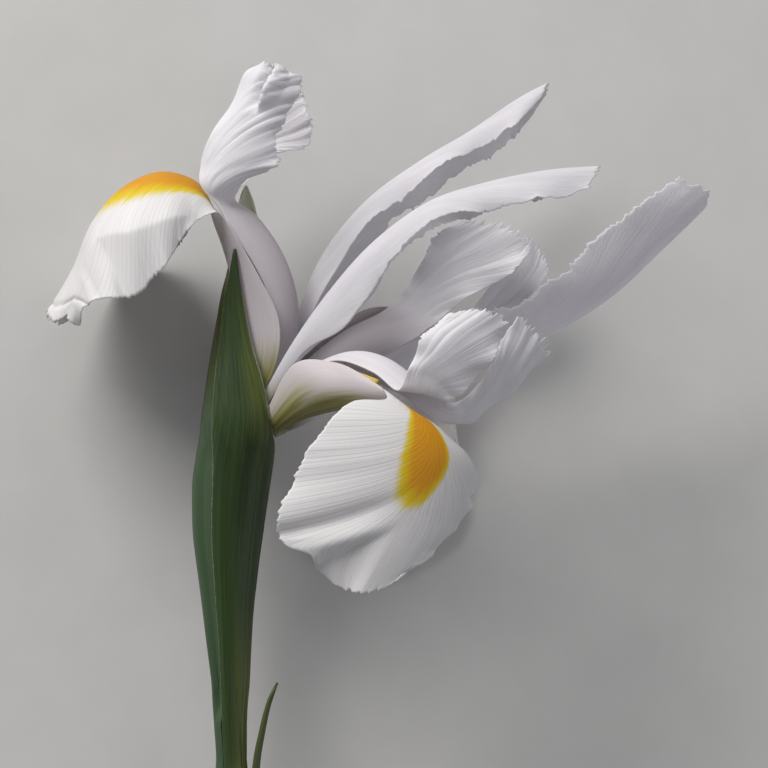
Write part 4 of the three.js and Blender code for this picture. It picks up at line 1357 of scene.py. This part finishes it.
soft = {"tip": (0.10, 11), "pleats": SOFT_PLEATS}
left_lobe = lobe_form(-1.0, 3.0, (PLAIN_RIM, TORN_RIM))
curled_lobe = lobe_form(1.0, 6.0, (TORN_RIM, PLAIN_RIM), width=0.17, folds=curled_fold)
near_lobe = lobe_form(-1.0, 1.1, (TOP_RIM, LATE_RIM), notches=narrow_slit, **soft)
open_lobe = lobe_form(1.0, 1.1, (LATE_RIM, PLAIN_RIM), **soft)
far_left_lobe = lobe_form(-1.0, 1.1, (PLAIN_RIM, LATE_RIM), **soft)
far_right_lobe = lobe_form(1.0, 1.1, (LATE_RIM, TOP_RIM), **soft)
# The first share in each crest form is the painted shade on its style arm, the second its green foot
crest_left_form = {"seed": 301, "painted_shade": 0.6, "green": 0.15, "lobes": (left_lobe, curled_lobe)}
crest_front_form = {"seed": 331, "painted_shade": 0.2, "green": 0.2, "lobes": (near_lobe, open_lobe)}
crest_back_form = {"seed": 361, "painted_shade": 0.6, "green": 0.2, "lobes": (far_left_lobe, far_right_lobe)}

falls = {
    "left": (fall_left, fall_left_form),
    "front": (fall_front, fall_front_form),
    "back": (fall_back, fall_back_form),
}
standards = {
    "upper": (standard_upper, standard_form(201, 0.08, 0.5, 0.8)),
    "middle": (standard_middle, standard_form(221, 0.10, 0.8, 3.2)),
    "right": (standard_right, standard_form(241, 0.03, 0.25, 5.0, splits=[(0, 0.3, 0.022), (1, 0.3, 0.02)])),
}
styles = {
    "left": (style_left, crest_left_form),
    "front": (style_front, crest_front_form),
    "back": (style_back, crest_back_form),
}

add_stem()
add_ovary()
add_bract("iris_bract_front", "bract_front", bract_front, 0.0, 3.0, 11, front_tones)
add_bract("iris_bract_back", "bract_back", bract_back, TUCK, 0.5, 12, back_tones)
add_leaf()
for side, (stations, form) in falls.items():
    add_petal(f"iris_fall_{side}", f"fall_{side}", stations, FALL_GRID, form)
for side, (stations, form) in standards.items():
    add_petal(f"iris_standard_{side}", f"standard_{side}", stations, STANDARD_GRID, form)
for side, (parts, form) in styles.items():
    add_style(f"iris_style_{side}", f"style_arm_{side}", parts, form)
for number, (side, (degrees, path)) in enumerate(stamens.items()):
    add_stamen(side, degrees, path, 401 + number)


# Floor, lights and camera

FLOOR_SIZE = 4.0
WORLD_COLOUR = (0.9, 0.93, 1.0, 1.0)
WORLD_STRENGTH = 0.14
mesh = bpy.data.meshes.new("floor")
corner = FLOOR_SIZE / 2
ends = [(-corner, -corner, 0), (corner, -corner, 0), (corner, corner, 0), (-corner, corner, 0)]
mesh.from_pydata(ends, [], [(0, 1, 2, 3)])
mesh.materials.append(floor_material("floor_pale"))
floor = bpy.data.objects.new("floor", mesh)
bpy.context.scene.collection.objects.link(floor)

flower_middle = Vector((0.0, 0.035, 0.03))


def soft_light(name, place, size, power, colour):
    """A square area light that faces the flower."""
    light = bpy.data.lights.new(name, "AREA")
    light.size = size
    light.energy = power
    light.color = colour
    lamp = bpy.data.objects.new(name, light)
    lamp.location = place
    lamp.rotation_mode = "QUATERNION"
    lamp.rotation_quaternion = (flower_middle - Vector(place)).to_track_quat("-Z", "Y")
    bpy.context.scene.collection.objects.link(lamp)


soft_light("key", (-0.60, 0.78, 0.50), 0.65, 14.5, (1.0, 0.985, 0.96))
soft_light("fill", (0.8, -0.1, 0.7), 0.8, 2.2, (0.98, 0.98, 1.0))
soft_light("top", (0.0, 0.1, 1.4), 1.0, 1.6, (1.0, 1.0, 1.0))

world = bpy.data.worlds.new("studio")
world.use_nodes = True
world.node_tree.nodes["Background"].inputs[0].default_value = WORLD_COLOUR
world.node_tree.nodes["Background"].inputs[1].default_value = WORLD_STRENGTH
bpy.context.scene.world = world
bpy.context.scene.view_settings.view_transform = "Standard"

lens = bpy.data.cameras.new("view")
lens.sensor_width = SENSOR
lens.lens = SENSOR * VIEW_DISTANCE / PICTURE_WIDTH
lens.clip_start = 0.05
lens.clip_end = 10.0
camera = bpy.data.objects.new("view", lens)
bpy.context.scene.collection.objects.link(camera)
eye = bed @ Vector((*VIEW_CENTRE, VIEW_DISTANCE))
camera.matrix_world = Matrix.Translation(eye * METRES) @ lay
bpy.context.scene.camera = camera
